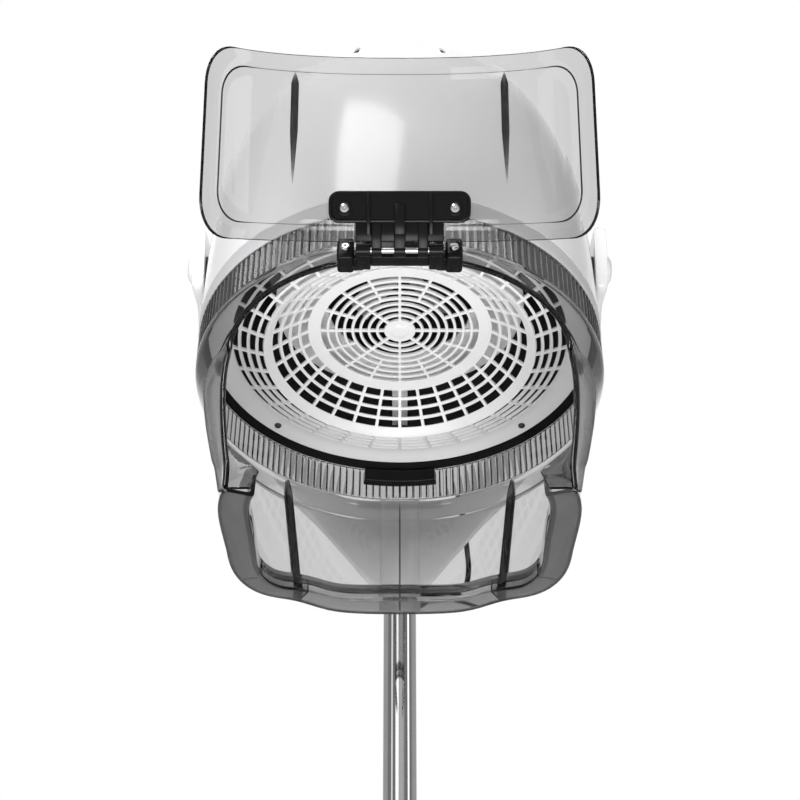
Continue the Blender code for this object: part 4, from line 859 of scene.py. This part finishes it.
# Front flanges: dark strips that turn outward from the arch's upright edges and fade out round its corners
def makeFlanges():
    shape = bmesh.new()
    spring = bonnet["archSpring"]
    low = lipDrop(edgeAngle(bonnet["lipDrop"])) - flange["above"]
    corner = archSpots()[1:flange["bend"] + 1]
    widest = flange["widest"]
    section = railSection(widest, flange["wall"], flange["corner"], widest / 2)
    for side in (-1, 1):
        spots = []
        out = Vector((side, flange["back"], 0)).normalized()
        through = Vector((-side * out.y, side * out.x, 0))
        for step in range(flange["steps"] + 1):
            drop = low + (spring - low) * step / flange["steps"]
            index = max(0, bisect.bisect([entry[0] for entry in flangeWidths], drop) - 1)
            (first, narrow), (last, wide) = flangeWidths[index:index + 2]
            size = (narrow + (wide - narrow) * (drop - first) / (last - first)) / widest
            spots.append((wallPoint(drop, side * edgeAngle(drop)), out * size, through))
        for step, (drop, angle) in enumerate(corner, 1):
            wide = flangeWidths[0][1] + (flange["end"] - flangeWidths[0][1]) * step / len(corner)
            spots.append((wallPoint(drop, side * angle), out * wide / widest, through))
        join(shape, swept(spots, section))
    piece(shape, "bonnetFlanges", hoodPlace, smokeCollar, "hood", (), 60)


makeBonnet()
makeLip()
makeTabs()
makeFlanges()
makeBonnetRails()
print("bonnet ready")

# Clear visor, built in its closed place round the hinge pin and set in its raised pose
visor = dict(
    half=0.156, taper=0.008, wider=0.012, bow=0.125, power=2.3, bowSteps=240, ahead=0.0045, top=0.0075, length=0.150,
    corner=0.032, wall=0.002, border=0.0145, sideBorder=0.021, step=0.0012, stepRun=0.0016, rim=0.0022, line=0.0015,
    faint=0.3, fade=0.03, ribX=0.0885, ribStart=0.046, ribEnd=0.136, ribWide=0.0062, ribDeep=0.006, ribCorner=0.0022,
    ribSunk=0.002, ribSteps=30, ribPoint=14, ribBlunt=3)


# Points along the visor's bow
def bowLine(count):
    reach = visor["half"] + visor["wider"]
    last = math.asin((visor["half"] / reach) ** (visor["power"] / 2))
    angles = (last * (2 * step / count - 1) for step in range(count + 1))
    return [Vector(superellipse(reach, visor["bow"], visor["power"], angle)) for angle in angles]


bowPoints = bowLine(visor["bowSteps"])
bowLengths = runLengths(bowPoints)
bowHalf = bowLengths[-1] / 2


# A point of the visor from its distance along the bow and down from the upper edge, so that borders keep their width
def visorPoint(across, down, lift=0.0):
    index, spot = placeAlong(bowPoints, bowLengths, min(bowLengths[-1], max(0, across + bowHalf)))
    first, second = bowPoints[index], bowPoints[index + 1]
    spot += Vector((first.y - second.y, second.x - first.x)).normalized() * lift
    narrowed = 1 - visor["taper"] / visor["half"] * down / visor["length"]
    return Vector((spot.x * narrowed, visor["bow"] - visor["ahead"] - spot.y, -visor["top"] - down))


# Closed outline of a rectangle with round corners
def roundedOutline(halfWidth, halfLength, corner, arc, wideSteps, longSteps):
    outline = []
    for sideX, sideY, start in ((1, 1, 0), (-1, 1, 1), (-1, -1, 2), (1, -1, 3)):
        middle = Vector((sideX * (halfWidth - corner), sideY * (halfLength - corner)))
        bend = [(start + step / arc) * math.pi / 2 for step in range(arc + 1)]
        bend = [middle + Vector((math.cos(angle), math.sin(angle))) * corner for angle in bend]
        if start % 2 == 0:
            along, steps = Vector((-sideX * 2 * (halfWidth - corner), 0)), wideSteps
        else:
            along, steps = Vector((0, -sideY * 2 * (halfLength - corner))), longSteps
        outline += bend[:-1] + [bend[-1] + along * step / steps for step in range(steps)]
    return [*outline, outline[0]]


def makeVisor():
    border = visor["border"]
    middle = visor["length"] / 2

    def outline(inset):
        sideInset = inset * visor["sideBorder"] / border
        return roundedOutline(bowHalf - sideInset, middle - inset, visor["corner"] - inset * 0.6, 10, 48, 14)

    inner, stepped, outer = outline(border), outline(border - visor["stepRun"]), outline(0.0)
    rows = [(inner, step / 12, 0.0) for step in range(13)]
    rows += [(stepped, 1.0, visor["step"]), (outline(border / 2), 1.0, visor["step"]), (outer, 1.0, visor["step"])]

    def where(across, along):
        points, scale, lift = rows[round(along * (len(rows) - 1))]
        spot = points[round(across * (len(points) - 1))] * scale
        return visorPoint(spot.x, middle + spot.y, lift)

    shape = closeUp(sheet(len(outer) - 1, len(rows) - 1, where), Vector((0, visor["bow"], -0.08)))
    made = piece(shape, "visorSheet", visorPlace, smokeVisor, "visor", ["visor"], 50)
    thicken(made, visor["wall"])

    # Round near-black lines along the rim and the step, painted shade for the dark look of the clear edges: full at the
    # sides, faint at the ends
    def makeLine(name, route, lift, width):
        spots = []
        points = [visorPoint(spot.x, middle + spot.y, lift) for spot in route]
        for spot, (place, wide, high) in zip(route, pathSpots(points)):
            inside = max(abs(point.x) for point in route) - visor["corner"] * 0.5 - abs(spot.x)
            size = min(1, max(visor["faint"], 1 - inside / visor["fade"]))
            spots.append((place, wide * size, high * size))
        thread = swept(spots, roundSection(width / 2, 10), False)
        piece(thread, name, visorPlace, paintedEdgeShade, "visor", (), 60)

    makeLine("visorRim", outer, visor["step"] - visor["wall"] / 2, visor["rim"])
    makeLine("visorLine", outline(border - visor["stepRun"] / 2), visor["step"] / 3, visor["line"])
    ridges = bmesh.new()
    ribAcross = bowLengths[bisect.bisect([spot.x for spot in bowPoints], visor["ribX"])] - bowHalf
    last = visor["ribSteps"]
    for side in (-1, 1):
        spots = []
        across = side * ribAcross
        for step in range(last + 1):
            down = visor["ribStart"] + (visor["ribEnd"] - visor["ribStart"]) * step / last
            size = max(0.05, min(1, step / visor["ribPoint"], (last - step) / visor["ribBlunt"]) ** 0.8)
            place = visorPoint(across, down, -visor["ribSunk"])
            sideways = (visorPoint(across + 0.001, down) - visorPoint(across - 0.001, down)).normalized()
            spots.append((place, sideways * size, sideways.cross(Vector((0, 0, 1))) * size))
        join(ridges, swept(spots, railSection(visor["ribWide"], visor["ribDeep"], visor["ribCorner"])))
    piece(ridges, "visorRibs", visorPlace, smokeEdge, "visor", (), 60)


makeVisor()

# Black visor hinge: lugs and knuckles on the bonnet, framed leaf and bars on the visor
hinge = dict(
    pinForward=0.203, pinDrop=0.062, pinRadius=0.0025, knuckle=0.0056, inner=0.024, outer=0.036, half=0.058,
    screwX=0.045, screwDrop=0.052, lugHalf=0.0072, leafTop=0.022, leafLength=0.026, leafNear=0.0048, leafWall=0.0045,
    leafScrew=0.034, leafRim=0.0024, leafSunk=0.0016, barX=0.0255, barHalf=0.0017, postHalf=0.0048, webHalf=0.036,
    faceBack=0.0065, lugBack=0.1765, lugTop=0.0395, webX=0.030, webBack=0.1775, webTop=0.050, armBack=0.184,
    armTop=0.042, blockHalf=0.035, blockBack=0.1835, blockLow=0.0615, blockTop=0.0385, ribHalf=0.0012, ribLow=0.0605,
    ribTop=0.040, strapX=0.019, strapHalf=0.0042, screwRadius=0.004, screwHeight=0.0025)


# A flat plate with rounded corners in X and Z, between two depths along Y, sunk inside a rim on its far side
def plate(bm, halfWidth, low, high, near, far, corner, edge):
    outline = roundedOutline(halfWidth, (high - low) / 2, corner, 6, 1, 1)[:-1]
    middle = (high + low) / 2
    verts = [bm.verts.new((spot.x, near, middle + spot.y)) for spot in outline]
    face = bm.faces.new(verts)
    made = bmesh.ops.extrude_face_region(bm, geom=[face])["geom"]
    moved = [part for part in made if isinstance(part, bmesh.types.BMVert)]
    lid = [part for part in made if isinstance(part, bmesh.types.BMFace)]
    bmesh.ops.translate(bm, verts=moved, vec=(0, far - near, 0))
    rims = [part for part in made if isinstance(part, bmesh.types.BMEdge)] + list(face.edges)
    bmesh.ops.recalc_face_normals(bm, faces=bm.faces)
    bmesh.ops.inset_region(bm, faces=lid, thickness=hinge["leafRim"], use_even_offset=True)
    bmesh.ops.inset_region(bm, faces=lid, thickness=0.0006, depth=-hinge["leafSunk"], use_even_offset=True)
    bmesh.ops.bevel(bm, geom=rims, offset=edge, affect="EDGES", segments=2, profile=0.5, material=-1)


def screwHead(radius, height):
    return turned([
        (0, height * 0.45), (radius * 0.28, height * 0.5), (radius * 0.38, height), (radius * 0.62, height),
        (radius * 0.9, height * 0.72), (radius, height * 0.3), (radius, 0), (0, 0)], 24)


def makeHinge():
    forward, drop = hinge["pinForward"], hinge["pinDrop"]
    face = forward - hinge["faceBack"]
    mount = bmesh.new()
    pinLine = Matrix.Translation((0, -forward, -drop)) @ alongX
    for side in (-1, 1):
        lug = sorted(side * (hinge["screwX"] + wide) for wide in (-hinge["lugHalf"], hinge["lugHalf"]))
        block(mount, (lug[0], -face, -drop - 0.001), (lug[1], -hinge["lugBack"], -hinge["lugTop"]), 0.003, 3)
        web = sorted((side * hinge["webX"], side * hinge["screwX"]))
        block(mount, (web[0], -face + 0.004, -drop + 0.001), (web[1], -hinge["webBack"], -hinge["webTop"]), 0.0015)
        arm = sorted((side * hinge["inner"], side * hinge["outer"]))
        block(mount, (arm[0], -forward + 0.001, -drop - 0.004), (arm[1], -hinge["armBack"], -hinge["armTop"]), 0.0012)
        rod(mount, hinge["knuckle"], arm[0], arm[1], pinLine, 28)
    half, thin = hinge["blockHalf"], hinge["ribHalf"]
    block(
        mount, (-half, -face + 0.002, -hinge["blockLow"]), (half, -hinge["blockBack"], -hinge["blockTop"]), 0.0016)
    for x in (-0.019, -0.0045, 0.0045, 0.019):
        low, high = (x - thin, -face - 0.001, -hinge["ribLow"]), (x + thin, -face + 0.004, -hinge["ribTop"])
        block(mount, low, high, 0.0004)
    made = piece(mount, "hingeBase", hoodPlace, blackGloss, "hood", ["hinge_base"])
    soften(made, 0.0004)
    leaf = bmesh.new()
    near, far = hinge["leafNear"], hinge["leafNear"] + hinge["leafWall"]
    top, low = -hinge["leafTop"], -hinge["leafTop"] - hinge["leafLength"]
    plate(leaf, hinge["half"], low, top, near, far, 0.0085, 0.0012)
    bar, post, web = hinge["barHalf"], hinge["postHalf"], hinge["webHalf"]
    for x in (-hinge["strapX"], 0.0, hinge["strapX"]):
        wide = post if x == 0 else hinge["strapHalf"]
        block(leaf, (x - wide, near - 0.003, top - 0.012), (x + wide, far - 0.0018, -0.001))
        rod(leaf, hinge["knuckle"], x - wide, x + wide, alongX, 28)
    block(leaf, (-web, near - 0.001, top - 0.004), (web, near + 0.0012, -0.0072), 0.0006)
    for x in (-hinge["barX"], hinge["barX"]):
        block(leaf, (x - bar, far - 0.003, low + 0.002), (x + bar, far + 0.0006, top + 0.010), 0.0006)
    block(leaf, (-post, far - 0.003, low + 0.010), (post, far + 0.0006, top + 0.010), 0.0014)
    for side in (-1, 1):
        spot = Matrix.Translation((side * hinge["screwX"], far - 0.0019, -hinge["leafScrew"])) @ alongY
        ring = roundedRing([(0.0042, 0.0), (0.0042, 0.0021), (0.0062, 0.0021), (0.0062, 0.0)], 0.0006, 32)
        bmesh.ops.transform(ring, matrix=spot, verts=ring.verts)
        join(leaf, ring)
    made = piece(leaf, "hingeLeaf", visorPlace, blackGloss, "visor", ["hinge_leaf"])
    soften(made, 0.0003)
    pin = turned(rounded([
        (0, hinge["outer"]), (hinge["pinRadius"], hinge["outer"]), (hinge["pinRadius"], -hinge["outer"]),
        (0, -hinge["outer"])], 0.0006), 28)
    piece(pin, "hingePin", visorPlace @ alongX, chrome, "visor", ["hinge_pin"])
    for name, x in (("left", -hinge["screwX"]), ("right", hinge["screwX"])):
        spot = Matrix.Translation((x, -face - 0.0002, -hinge["screwDrop"])) @ alongY.inverted()
        head = screwHead(hinge["screwRadius"], hinge["screwHeight"])
        piece(
            head, f"baseScrew.{name}", hoodPlace @ spot, brightScrew, "hood", [f"hinge_base_screw_{name}"])
        spot = Matrix.Translation((x, far - hinge["leafSunk"] + 0.0002, -hinge["leafScrew"])) @ alongY
        head = screwHead(hinge["screwRadius"], hinge["screwHeight"])
        piece(
            head, f"leafScrew.{name}", visorPlace @ spot, brightScrew, "visor", [f"hinge_leaf_screw_{name}"])


makeHinge()
print("visor and hinge ready")

# White air grille: three zones of slots between rings and spokes
grille = dict(
    wall=0.003, spoke=0.0030, innerSpoke=0.0026, ring=0.0026, lap=0.00004, edge=0.00035, screwRadius=0.172,
    screwAngle=46, screwHeight=0.0088, headRadius=0.0035, headHeight=0.0024, rim=[0.1665, 0.170, 0.1755, 0.1808])
grilleProfile = [
    (0.0, 0.030), (0.076, 0.030), (0.089, 0.0285), (0.1075, 0.0162), (0.123, 0.0052), (0.126, 0.0010),
    (0.129, -0.0005), (0.133, 0.0004), (0.163, 0.0100), (0.170, 0.0098), (0.181, 0.0070)]
catch = dict(half=0.038, deep=0.010, top=-0.006, low=-0.020, gap=0.0003, columns=24, edge=0.0009)


# Height of the grille's dished face at a radius
def grilleHeight(radius):
    for (lowR, lowH), (highR, highH) in zip(grilleProfile, grilleProfile[1:]):
        if radius <= highR:
            return lowH + (highH - lowH) * (radius - lowR) / (highR - lowR)
    return grilleProfile[-1][1]


# Ring edges of one zone of slots, and which of the steps between them are slots
def zoneRings(start, end, rows, ringFirst):
    pitch = (end - start) / rows
    radii, slots = [start], []
    for row in range(rows):
        low = start + row * pitch
        split = low + grille["ring"] if ringFirst else low + pitch - grille["ring"]
        radii += [split, low + pitch]
        slots += [not ringFirst, ringFirst]
    return radii, slots


def makeGrille():
    shape = bmesh.new()

    def zone(radii, slots, sectors, spread, narrow, lift):
        edges = [(radius, grilleHeight(radius) + lift) for radius in radii]
        ringGrid(edges, sectors, spread, narrow, lambda ring, step: slots[ring] and step > 0, shape)

    radii, slots = zoneRings(0.0125, 0.0445, 4, True)
    zone([0.004, *radii, 0.0468], [False, *slots, False], 8, 9, grille["innerSpoke"], grille["lap"])
    radii, slots = zoneRings(0.0440, 0.0760, 4, True)
    zone([*radii, 0.0800, 0.0860], [*slots, False, False], 16, 7, grille["innerSpoke"], 0.0)
    radii, slots = zoneRings(0.0885, 0.1235, 4, False)
    outerRadii, outerSlots = zoneRings(0.1290, 0.1625, 4, False)
    rim = grille["rim"]
    edges = [0.0848, *radii, 0.126, *outerRadii, *rim]
    isOpen = [False, *slots, False, False, *outerSlots, *(False for _ in rim)]
    zone(edges, isOpen, 32, 5, grille["spoke"], grille["lap"])
    closeUp(shape)
    if sum(face.normal.z for face in shape.faces) < 0:
        bmesh.ops.reverse_faces(shape, faces=shape.faces)
    made = piece(shape, "airGrille", hoodPlace, whiteGrille, "hood", ["air_grille"], 40)
    soften(thicken(made, grille["wall"], 1.0), grille["edge"])
    hub = turned(rounded([(0, 0.0318), (0.0085, 0.0318), (0.0095, 0.0292), (0.0072, 0.0284), (0, 0.0280)], 0.001), 40)
    piece(hub, "grilleHub", hoodPlace, whiteGrille, "hood", ())
    for name, side in (("left", 1), ("right", -1)):
        angle = math.radians(90 + side * grille["screwAngle"])
        spot = Matrix.Translation(polar(grille["screwRadius"], angle, grille["screwHeight"]))
        place = hoodPlace @ spot @ Matrix.Rotation(math.pi, 4, "X")
        head = screwHead(grille["headRadius"], grille["headHeight"])
        piece(head, f"grilleScrew.{name}", place, innerSteel, "hood", [f"grille_screw_{name}"])


# Black catch inside the collar at the rear
def makeCatch():
    outer = hood["ringRadius"] - hood["wall"] - catch["gap"]
    inner, top, low = outer - catch["deep"], catch["top"], catch["low"]
    corners = ((outer, top), (inner, top), (inner, low), (outer, low), (outer, top))

    def where(across, along):
        radius, height = corners[round(along * 4)]
        bearing = math.pi / 2 + (across - 0.5) * 2 * math.asin(catch["half"] / outer)
        return polar(radius, bearing, height)

    shape = closeUp(sheet(catch["columns"], 4, where), fill=True)
    made = piece(shape, "rearCatch", hoodPlace, blackGloss, "hood", ["rear_catch"])
    soften(made, catch["edge"])


makeGrille()
makeCatch()
print("grille ready")

# White yoke: one rounded ribbon from ear to ear round the rear of the hood, and its socket on the mast
yoke = dict(
    wall=0.012, tall=0.05, corner=0.0046, socketRadius=0.022, socketBore=0.0178, socketDepth=0.12, socketTop=-0.070,
    socketLow=-0.190, earX=0.198, earAhead=0.024, capGap=0.0003)


def makeYoke():
    earY, earZ = pivot.y - mastY, pivot.z - ringCentre.z
    earX, earEnd = yoke["earX"], earY - yoke["earAhead"]
    # x, y, lower edge and upper edge from the mast to the right ear
    stations = [
        (0.0, 0.0, -0.178, -0.070), (0.032, 0.0, -0.161, -0.072), (0.055, 0.0, -0.136, -0.072),
        (0.083, -0.002, -0.105, -0.056), (0.109, -0.008, -0.079, -0.030), (0.135, -0.026, -0.052, -0.008),
        (0.158, -0.053, -0.023, 0.016), (0.177, -0.088, 0.004, 0.044), (0.190, -0.125, 0.032, 0.074),
        (earX, -0.160, 0.056, earZ + 0.012), (earX, earY + 0.028, earZ - 0.032, earZ + 0.034),
        (earX, earEnd + 0.008, earZ - 0.030, earZ + 0.038), (earX, earEnd, earZ - 0.020, earZ + 0.034)]
    right = [Vector((x, y, (low + high) / 2, high - low)) for x, y, low, high in stations]
    left = [Vector((-spot.x, spot.y, spot.z, spot.w)) for spot in reversed(right[1:])]
    line = smoothRoute(left + right, 6)
    spots = []
    for index, spot in enumerate(line):
        ahead = line[min(index + 1, len(line) - 1)] - line[max(index - 1, 0)]
        across = Vector((-ahead.y, ahead.x, 0)).normalized()
        spots.append((spot.to_3d(), Vector((0, 0, spot.w / yoke["tall"])), across))
    place = Matrix.Translation((0, mastY, ringCentre.z))
    ribbon = swept(spots, railSection(yoke["tall"], yoke["wall"], yoke["corner"]))
    made = piece(ribbon, "yokeRibbon", place, whiteShell, "yoke", ["yoke"], 45)
    soften(made, 0.002, 3, 60)
    top, low, radius, bore = yoke["socketTop"], yoke["socketLow"], yoke["socketRadius"], yoke["socketBore"]
    profile = [
        (bore, low + yoke["socketDepth"]), (bore, low), (radius, low), (radius, low + 0.012), (radius, top), (0, top)]
    socket = turned(rounded(profile, 0.003), 64)
    piece(socket, "yokeSocket", place, whiteShell, "yoke", ())
    face = earX + yoke["wall"] / 2 + yoke["capGap"]
    profile = [(0, face + 0.0063), (0.0095, face + 0.0060), (0.0138, face + 0.0034), (0.0140, face), (0, face)]
    for name, turn in (("left", alongX.inverted()), ("right", alongX)):
        cover = turned(rounded(profile, 0.0016), 48)
        spot = Matrix.Translation(pivot) @ turn
        piece(cover, f"pivotCap.{name}", spot, whiteShell, "yoke", [f"pivot_cap_{name}"])


makeYoke()
print("yoke ready")

# Chrome tubes, clamp collar and its hand knob
stand = dict(
    lowerRadius=0.021, upperRadius=0.0175, wall=0.0015, lowerLow=0.0823, lowerTop=0.680, upperLow=0.330,
    upperTop=1.1517, gap=0.0003, collarRadius=0.031, collarLow=0.645, collarStep=0.684, collarTop=0.694, foot=0.0008,
    knobGap=0.002, knobRadius=0.020, knobTall=0.022, knobLobes=8, lobeDepth=0.0036, stemRadius=0.004, stemEnd=0.0178)


def tubeShape(radius, wall, low, high):
    inner = radius - wall
    return roundedRing([(radius, high), (radius, low), (inner, low), (inner, high)], 0.0005, 72)


# A hand knob with lobes: rows of radius and height, fluted where the weight says
def lobedShape(rows, lobes, depth, steps=12):
    def where(across, along):
        radius, height, weight = rows[round(along * (len(rows) - 1))]
        angle = 2 * math.pi * across
        wave = weight * depth * (1 - math.cos(angle * lobes)) / 2
        return polar(max(radius - wave, 0), angle, height)

    return closeUp(sheet(lobes * steps, len(rows) - 1, where))


def makeStand():
    lower = tubeShape(stand["lowerRadius"], stand["wall"], stand["lowerLow"], stand["lowerTop"])
    piece(lower, "lowerTube", mastPlace, chrome, "base", ["lower_tube"])
    upper = tubeShape(stand["upperRadius"], stand["wall"], stand["upperLow"], stand["upperTop"])
    piece(upper, "upperTube", mastPlace, chrome, "mast", ["upper_tube"])
    radius, low, top, step = stand["collarRadius"], stand["collarLow"], stand["collarTop"], stand["collarStep"]
    foot, bore, neck = radius + stand["foot"], stand["lowerRadius"] + stand["gap"], stand["upperRadius"] + stand["gap"]
    profile = [
        (radius - 0.0045, top), (radius, top - 0.0045), (radius, low + 0.012), (foot, low + 0.009), (foot, low + 0.003),
        (radius - 0.001, low), (bore, low), (bore, step), (neck, step), (neck, top)]
    collar = roundedRing(profile, 0.0018, 64)
    piece(collar, "clampCollar", mastPlace, blackSatin, "base", ["clamp_collar"])
    head, wide = radius + stand["knobGap"], stand["knobRadius"]
    face, stem, end = head + stand["knobTall"], stand["stemRadius"], stand["stemEnd"]
    rows = [
        (0, face, 0), (wide - 0.011, face, 0), (wide - 0.0065, face - 0.0006, 0.5), (wide - 0.0025, face - 0.0025, 0.9),
        (wide - 0.0005, face - 0.0055, 1), (wide, face - 0.009, 1), (wide, head + 0.006, 1),
        (wide - 0.0012, head + 0.0035, 0.8), (wide - 0.008, head, 0), (stem, head, 0), (stem, end, 0), (0, end, 0)]
    spot = Matrix.Translation(Vector(joints["clamp_knob_turn"]["pos_m"])) @ alongX
    shape = lobedShape(rows, stand["knobLobes"], stand["lobeDepth"])
    piece(shape, "heightKnob", spot, blackSatin, "clamp_knob", ["height_knob"], 40)


makeStand()

# Five-arm cast base
base = dict(
    legs=5, reach=0.290, low=0.070, hubRadius=0.045, hubTop=0.142, hubWidth=0.040, endWidth=0.026, hubDepth=0.034,
    endDepth=0.020, legStart=0.030, legCorner=0.011, legSteps=24, boss=0.017, bossRise=0.008, bore=0.0065)


def legAngle(index):
    return -math.pi / 2 + index * 2 * math.pi / base["legs"]


def makeBase():
    low, top, radius = base["low"], base["hubTop"], base["hubRadius"]
    mouth = stand["lowerRadius"] + stand["gap"]
    hub = turned(rounded([
        (mouth, top - 0.010), (mouth, top), (0.030, top), (radius - 0.004, top - 0.006), (radius, top - 0.014),
        (radius, low), (0, low)], 0.003), 72)
    piece(hub, "baseHub", mastPlace, castMetal, "base", ["star_base"])
    legs = bmesh.new()
    for index in range(base["legs"]):
        angle = legAngle(index)
        sideways = polar(1, angle + math.pi / 2)
        spots = []
        for step in range(base["legSteps"] + 1):
            t = step / base["legSteps"]
            wide = base["hubWidth"] + (base["endWidth"] - base["hubWidth"]) * t
            deep = base["hubDepth"] + (base["endDepth"] - base["hubDepth"]) * (t ** 0.8)
            away = base["legStart"] + (base["reach"] - base["legStart"]) * t
            spots.append((
                polar(away, angle, low + 0.0002 + deep / 2), sideways * (wide / base["hubWidth"]),
                Vector((0, 0, deep / base["hubDepth"]))))
        join(legs, swept(spots, railSection(base["hubWidth"], base["hubDepth"], base["legCorner"], arc=6)))
    piece(legs, "baseLegs", mastPlace, castMetal, "base", (), 45)
    high, wide, bore = low + base["endDepth"] + base["bossRise"], base["boss"], base["bore"]
    profile = [
        (0, high), (wide * 0.7, high), (wide, high - 0.006), (wide, low), (bore, low), (bore, low + 0.02),
        (0, low + 0.02)]
    for index in range(base["legs"]):
        boss = turned(rounded(profile, 0.003), 48)
        place = mastPlace @ Matrix.Translation(polar(base["reach"], legAngle(index)))
        piece(boss, f"legBoss.{index + 1}", place, castMetal, "base", ())


makeBase()

# Twin-wheel castors
castor = dict(
    radius=0.025, width=0.018, gap=0.0046, top=0.0692, plateHalf=0.0038, headRadius=0.0155, headTall=0.009,
    stemRadius=0.0055, stemTop=0.0897, guardInner=0.0272, guardOuter=0.0290, guardStart=8, guardSweep=164, edge=0.0006)


def makeCastors():
    rim, gap, top = castor["radius"], castor["gap"], castor["top"]
    outer = gap + castor["width"]
    near, far, half = castor["guardInner"], castor["guardOuter"], castor["plateHalf"]
    loop = ((near, -outer), (near, outer), (far, outer), (far, -outer), (near, -outer))
    profile = [
        (0.005, gap), (rim - 0.002, gap), (rim, gap + 0.003), (rim, outer - 0.004), (rim - 0.0025, outer - 0.0008),
        (0.0195, outer - 0.0008), (0.0185, outer - 0.0028), (0.0060, outer - 0.0028), (0.0050, outer), (0, outer)]
    profile = [(radius, -side) for radius, side in reversed(profile)] + profile
    for number in range(1, base["legs"] + 1):
        swivel = Vector(joints[f"castor_swivel_{number}"]["pos_m"])
        axle = Vector(joints[f"castor_roll_{number}"]["pos_m"])
        trail = Vector((axle.x - swivel.x, axle.y - swivel.y, 0))
        reach = trail.length
        place = Matrix.Translation((swivel.x, swivel.y, 0)) @ Matrix.Rotation(math.atan2(trail.y, trail.x), 4, "Z")
        body = bmesh.new()
        block(body, (-0.010, -half, 0.014), (reach + 0.010, half, 0.060), 0.0015)
        rod(body, castor["headRadius"], top - castor["headTall"], top, segments=40)
        rod(body, castor["stemRadius"], top - 0.004, castor["stemTop"], segments=28)

        def fender(across, along):
            angle = math.radians(castor["guardStart"] + castor["guardSweep"] * across)
            away, side = loop[round(along * 4)]
            return Vector((reach + away * math.cos(angle), side, rim + away * math.sin(angle)))

        guard = closeUp(sheet(40, 4, fender), fill=True)
        swivelBody, node = f"castor_{number}", f"castor_body_{number}"
        made = piece(body, f"castorBody.{number}", place, blackSatin, swivelBody, [node])
        soften(made, castor["edge"])
        made = piece(guard, f"castorGuard.{number}", place, blackSatin, swivelBody, ())
        soften(made, castor["edge"])
        spin = place @ Matrix.Translation((reach, 0, rim)) @ alongY
        spool = turned(rounded(profile, 0.0012, 3), 56)
        wheels, node = f"wheels_{number}", f"castor_wheels_{number}"
        piece(spool, f"castorWheels.{number}", spin, treadRubber, wheels, [node])


makeCastors()
print("stand ready")

# Control panel on the crown: dials with ticks, and lamp
controls = dict(
    low=0.0003, thick=0.006, plug=0.0617, plugDepth=0.010, dialX=0.032, dialRadius=0.016, dialHeight=0.017,
    dialGap=0.0003, dialRidges=24, ridgeDepth=0.0009, ticks=13, sweep=300, tickStart=0.0185, tickHalf=0.0004,
    longTick=0.0040, shortTick=0.0024, pointerHalf=0.0006, lampY=0.036, lampRadius=0.005)


def makeControls():
    low = capTop + controls["low"]
    top = low + controls["thick"]
    radius = cap["panelRadius"]
    panel = turned(rounded([
        (0, top), (radius - 0.005, top), (radius, top - 0.0035), (radius, low), (controls["plug"], low),
        (controls["plug"], low - controls["plugDepth"]), (0, low - controls["plugDepth"])], 0.0012), 96)
    piece(panel, "controlPanel", hoodPlace, paleTrimPaintedShade, "hood", ["control_panel"])
    marks = bmesh.new()
    start, half = controls["tickStart"], controls["tickHalf"]
    for side in (-1, 1):
        for step in range(controls["ticks"]):
            share = step / (controls["ticks"] - 1) - 0.5
            angle = math.pi / 2 + math.radians(controls["sweep"]) * share
            end = start + (controls["shortTick"] if step % 3 else controls["longTick"])
            place = Matrix.Translation((side * controls["dialX"], 0, top)) @ Matrix.Rotation(angle, 4, "Z")
            block(marks, (start, -half, -0.0002), (end, half, 0.00012), 0, 1, place)
    piece(marks, "dialTicks", hoodPlace, blackSatin, "hood", ())
    face = top + controls["dialGap"]
    rim, high = controls["dialRadius"], face + controls["dialHeight"]
    wide = controls["pointerHalf"]
    rows = [
        (0, high, 0), (rim - 0.006, high, 0), (rim - 0.004, high - 0.0004, 0.2), (rim - 0.0028, high - 0.0018, 1),
        (rim - 0.0022, face + 0.006, 1), (rim - 0.0018, face + 0.004, 0.3), (rim, face + 0.0034, 0),
        (rim, face + 0.0004, 0), (rim - 0.0004, face, 0), (0, face, 0)]
    for body, node, x in (("timer", "timer_knob", -controls["dialX"]), ("heat", "heat_knob", controls["dialX"])):
        dial = lobedShape(rows, controls["dialRidges"], controls["ridgeDepth"], 6)
        spot = hoodPlace @ Matrix.Translation((x, 0, 0))
        piece(dial, f"{body}Dial", spot, blackSatin, body, [node], 40)
        pointer = bmesh.new()
        block(pointer, (-wide, 0.004, high - 0.0003), (wide, rim - 0.0045, high + 0.0002), 0.0002, 1)
        piece(pointer, f"{body}Pointer", spot, whiteGrille, body, ())
    glass = controls["lampRadius"]
    lamp = turned([
        (0, top + 0.003), (glass * 0.3, top + 0.0029), (glass * 0.6, top + 0.0025), (glass * 0.84, top + 0.0017),
        (glass, top + 0.0004), (glass, top - 0.004), (0, top - 0.004)], 40)
    spot = hoodPlace @ Matrix.Translation((0, controls["lampY"], 0))
    piece(lamp, "pilotLens", spot, lampLens, "hood", ["pilot_lamp"])
    ring = roundedRing([
        (glass + 0.0001, top - 0.001), (glass + 0.0001, top + 0.0008), (glass + 0.0022, top + 0.0008),
        (glass + 0.0026, top - 0.001)], 0.0005, 40)
    piece(ring, "lampBezel", spot, chrome, "hood", ())


makeControls()
print("controls ready")

# CAD pieces that keep their shape take the finish of their slot
cadFinishes = dict(
    white_plastic=whiteShell, pale_plastic=paleTrimPaintedShade, smoke_clear=smokeBonnet, black_plastic=blackSatin,
    black_rubber=cordRubber, chrome=chrome, steel=plainSteel, cast_aluminium=castMetal, orange_lens=lampLens)
innerFinishes = dict(
    motor=plainSteel, motor_plate=innerSteel, fan=paleTrimPaintedShade, heater_frame=whiteGrille, heater_element=innerSteel,
    thermal_cutout=innerSteel)
for name, node in nodes.items():
    for slot in node.material_slots:
        slot.material = innerFinishes.get(name) or cadFinishes[slot.material.name]

print("scene ready")
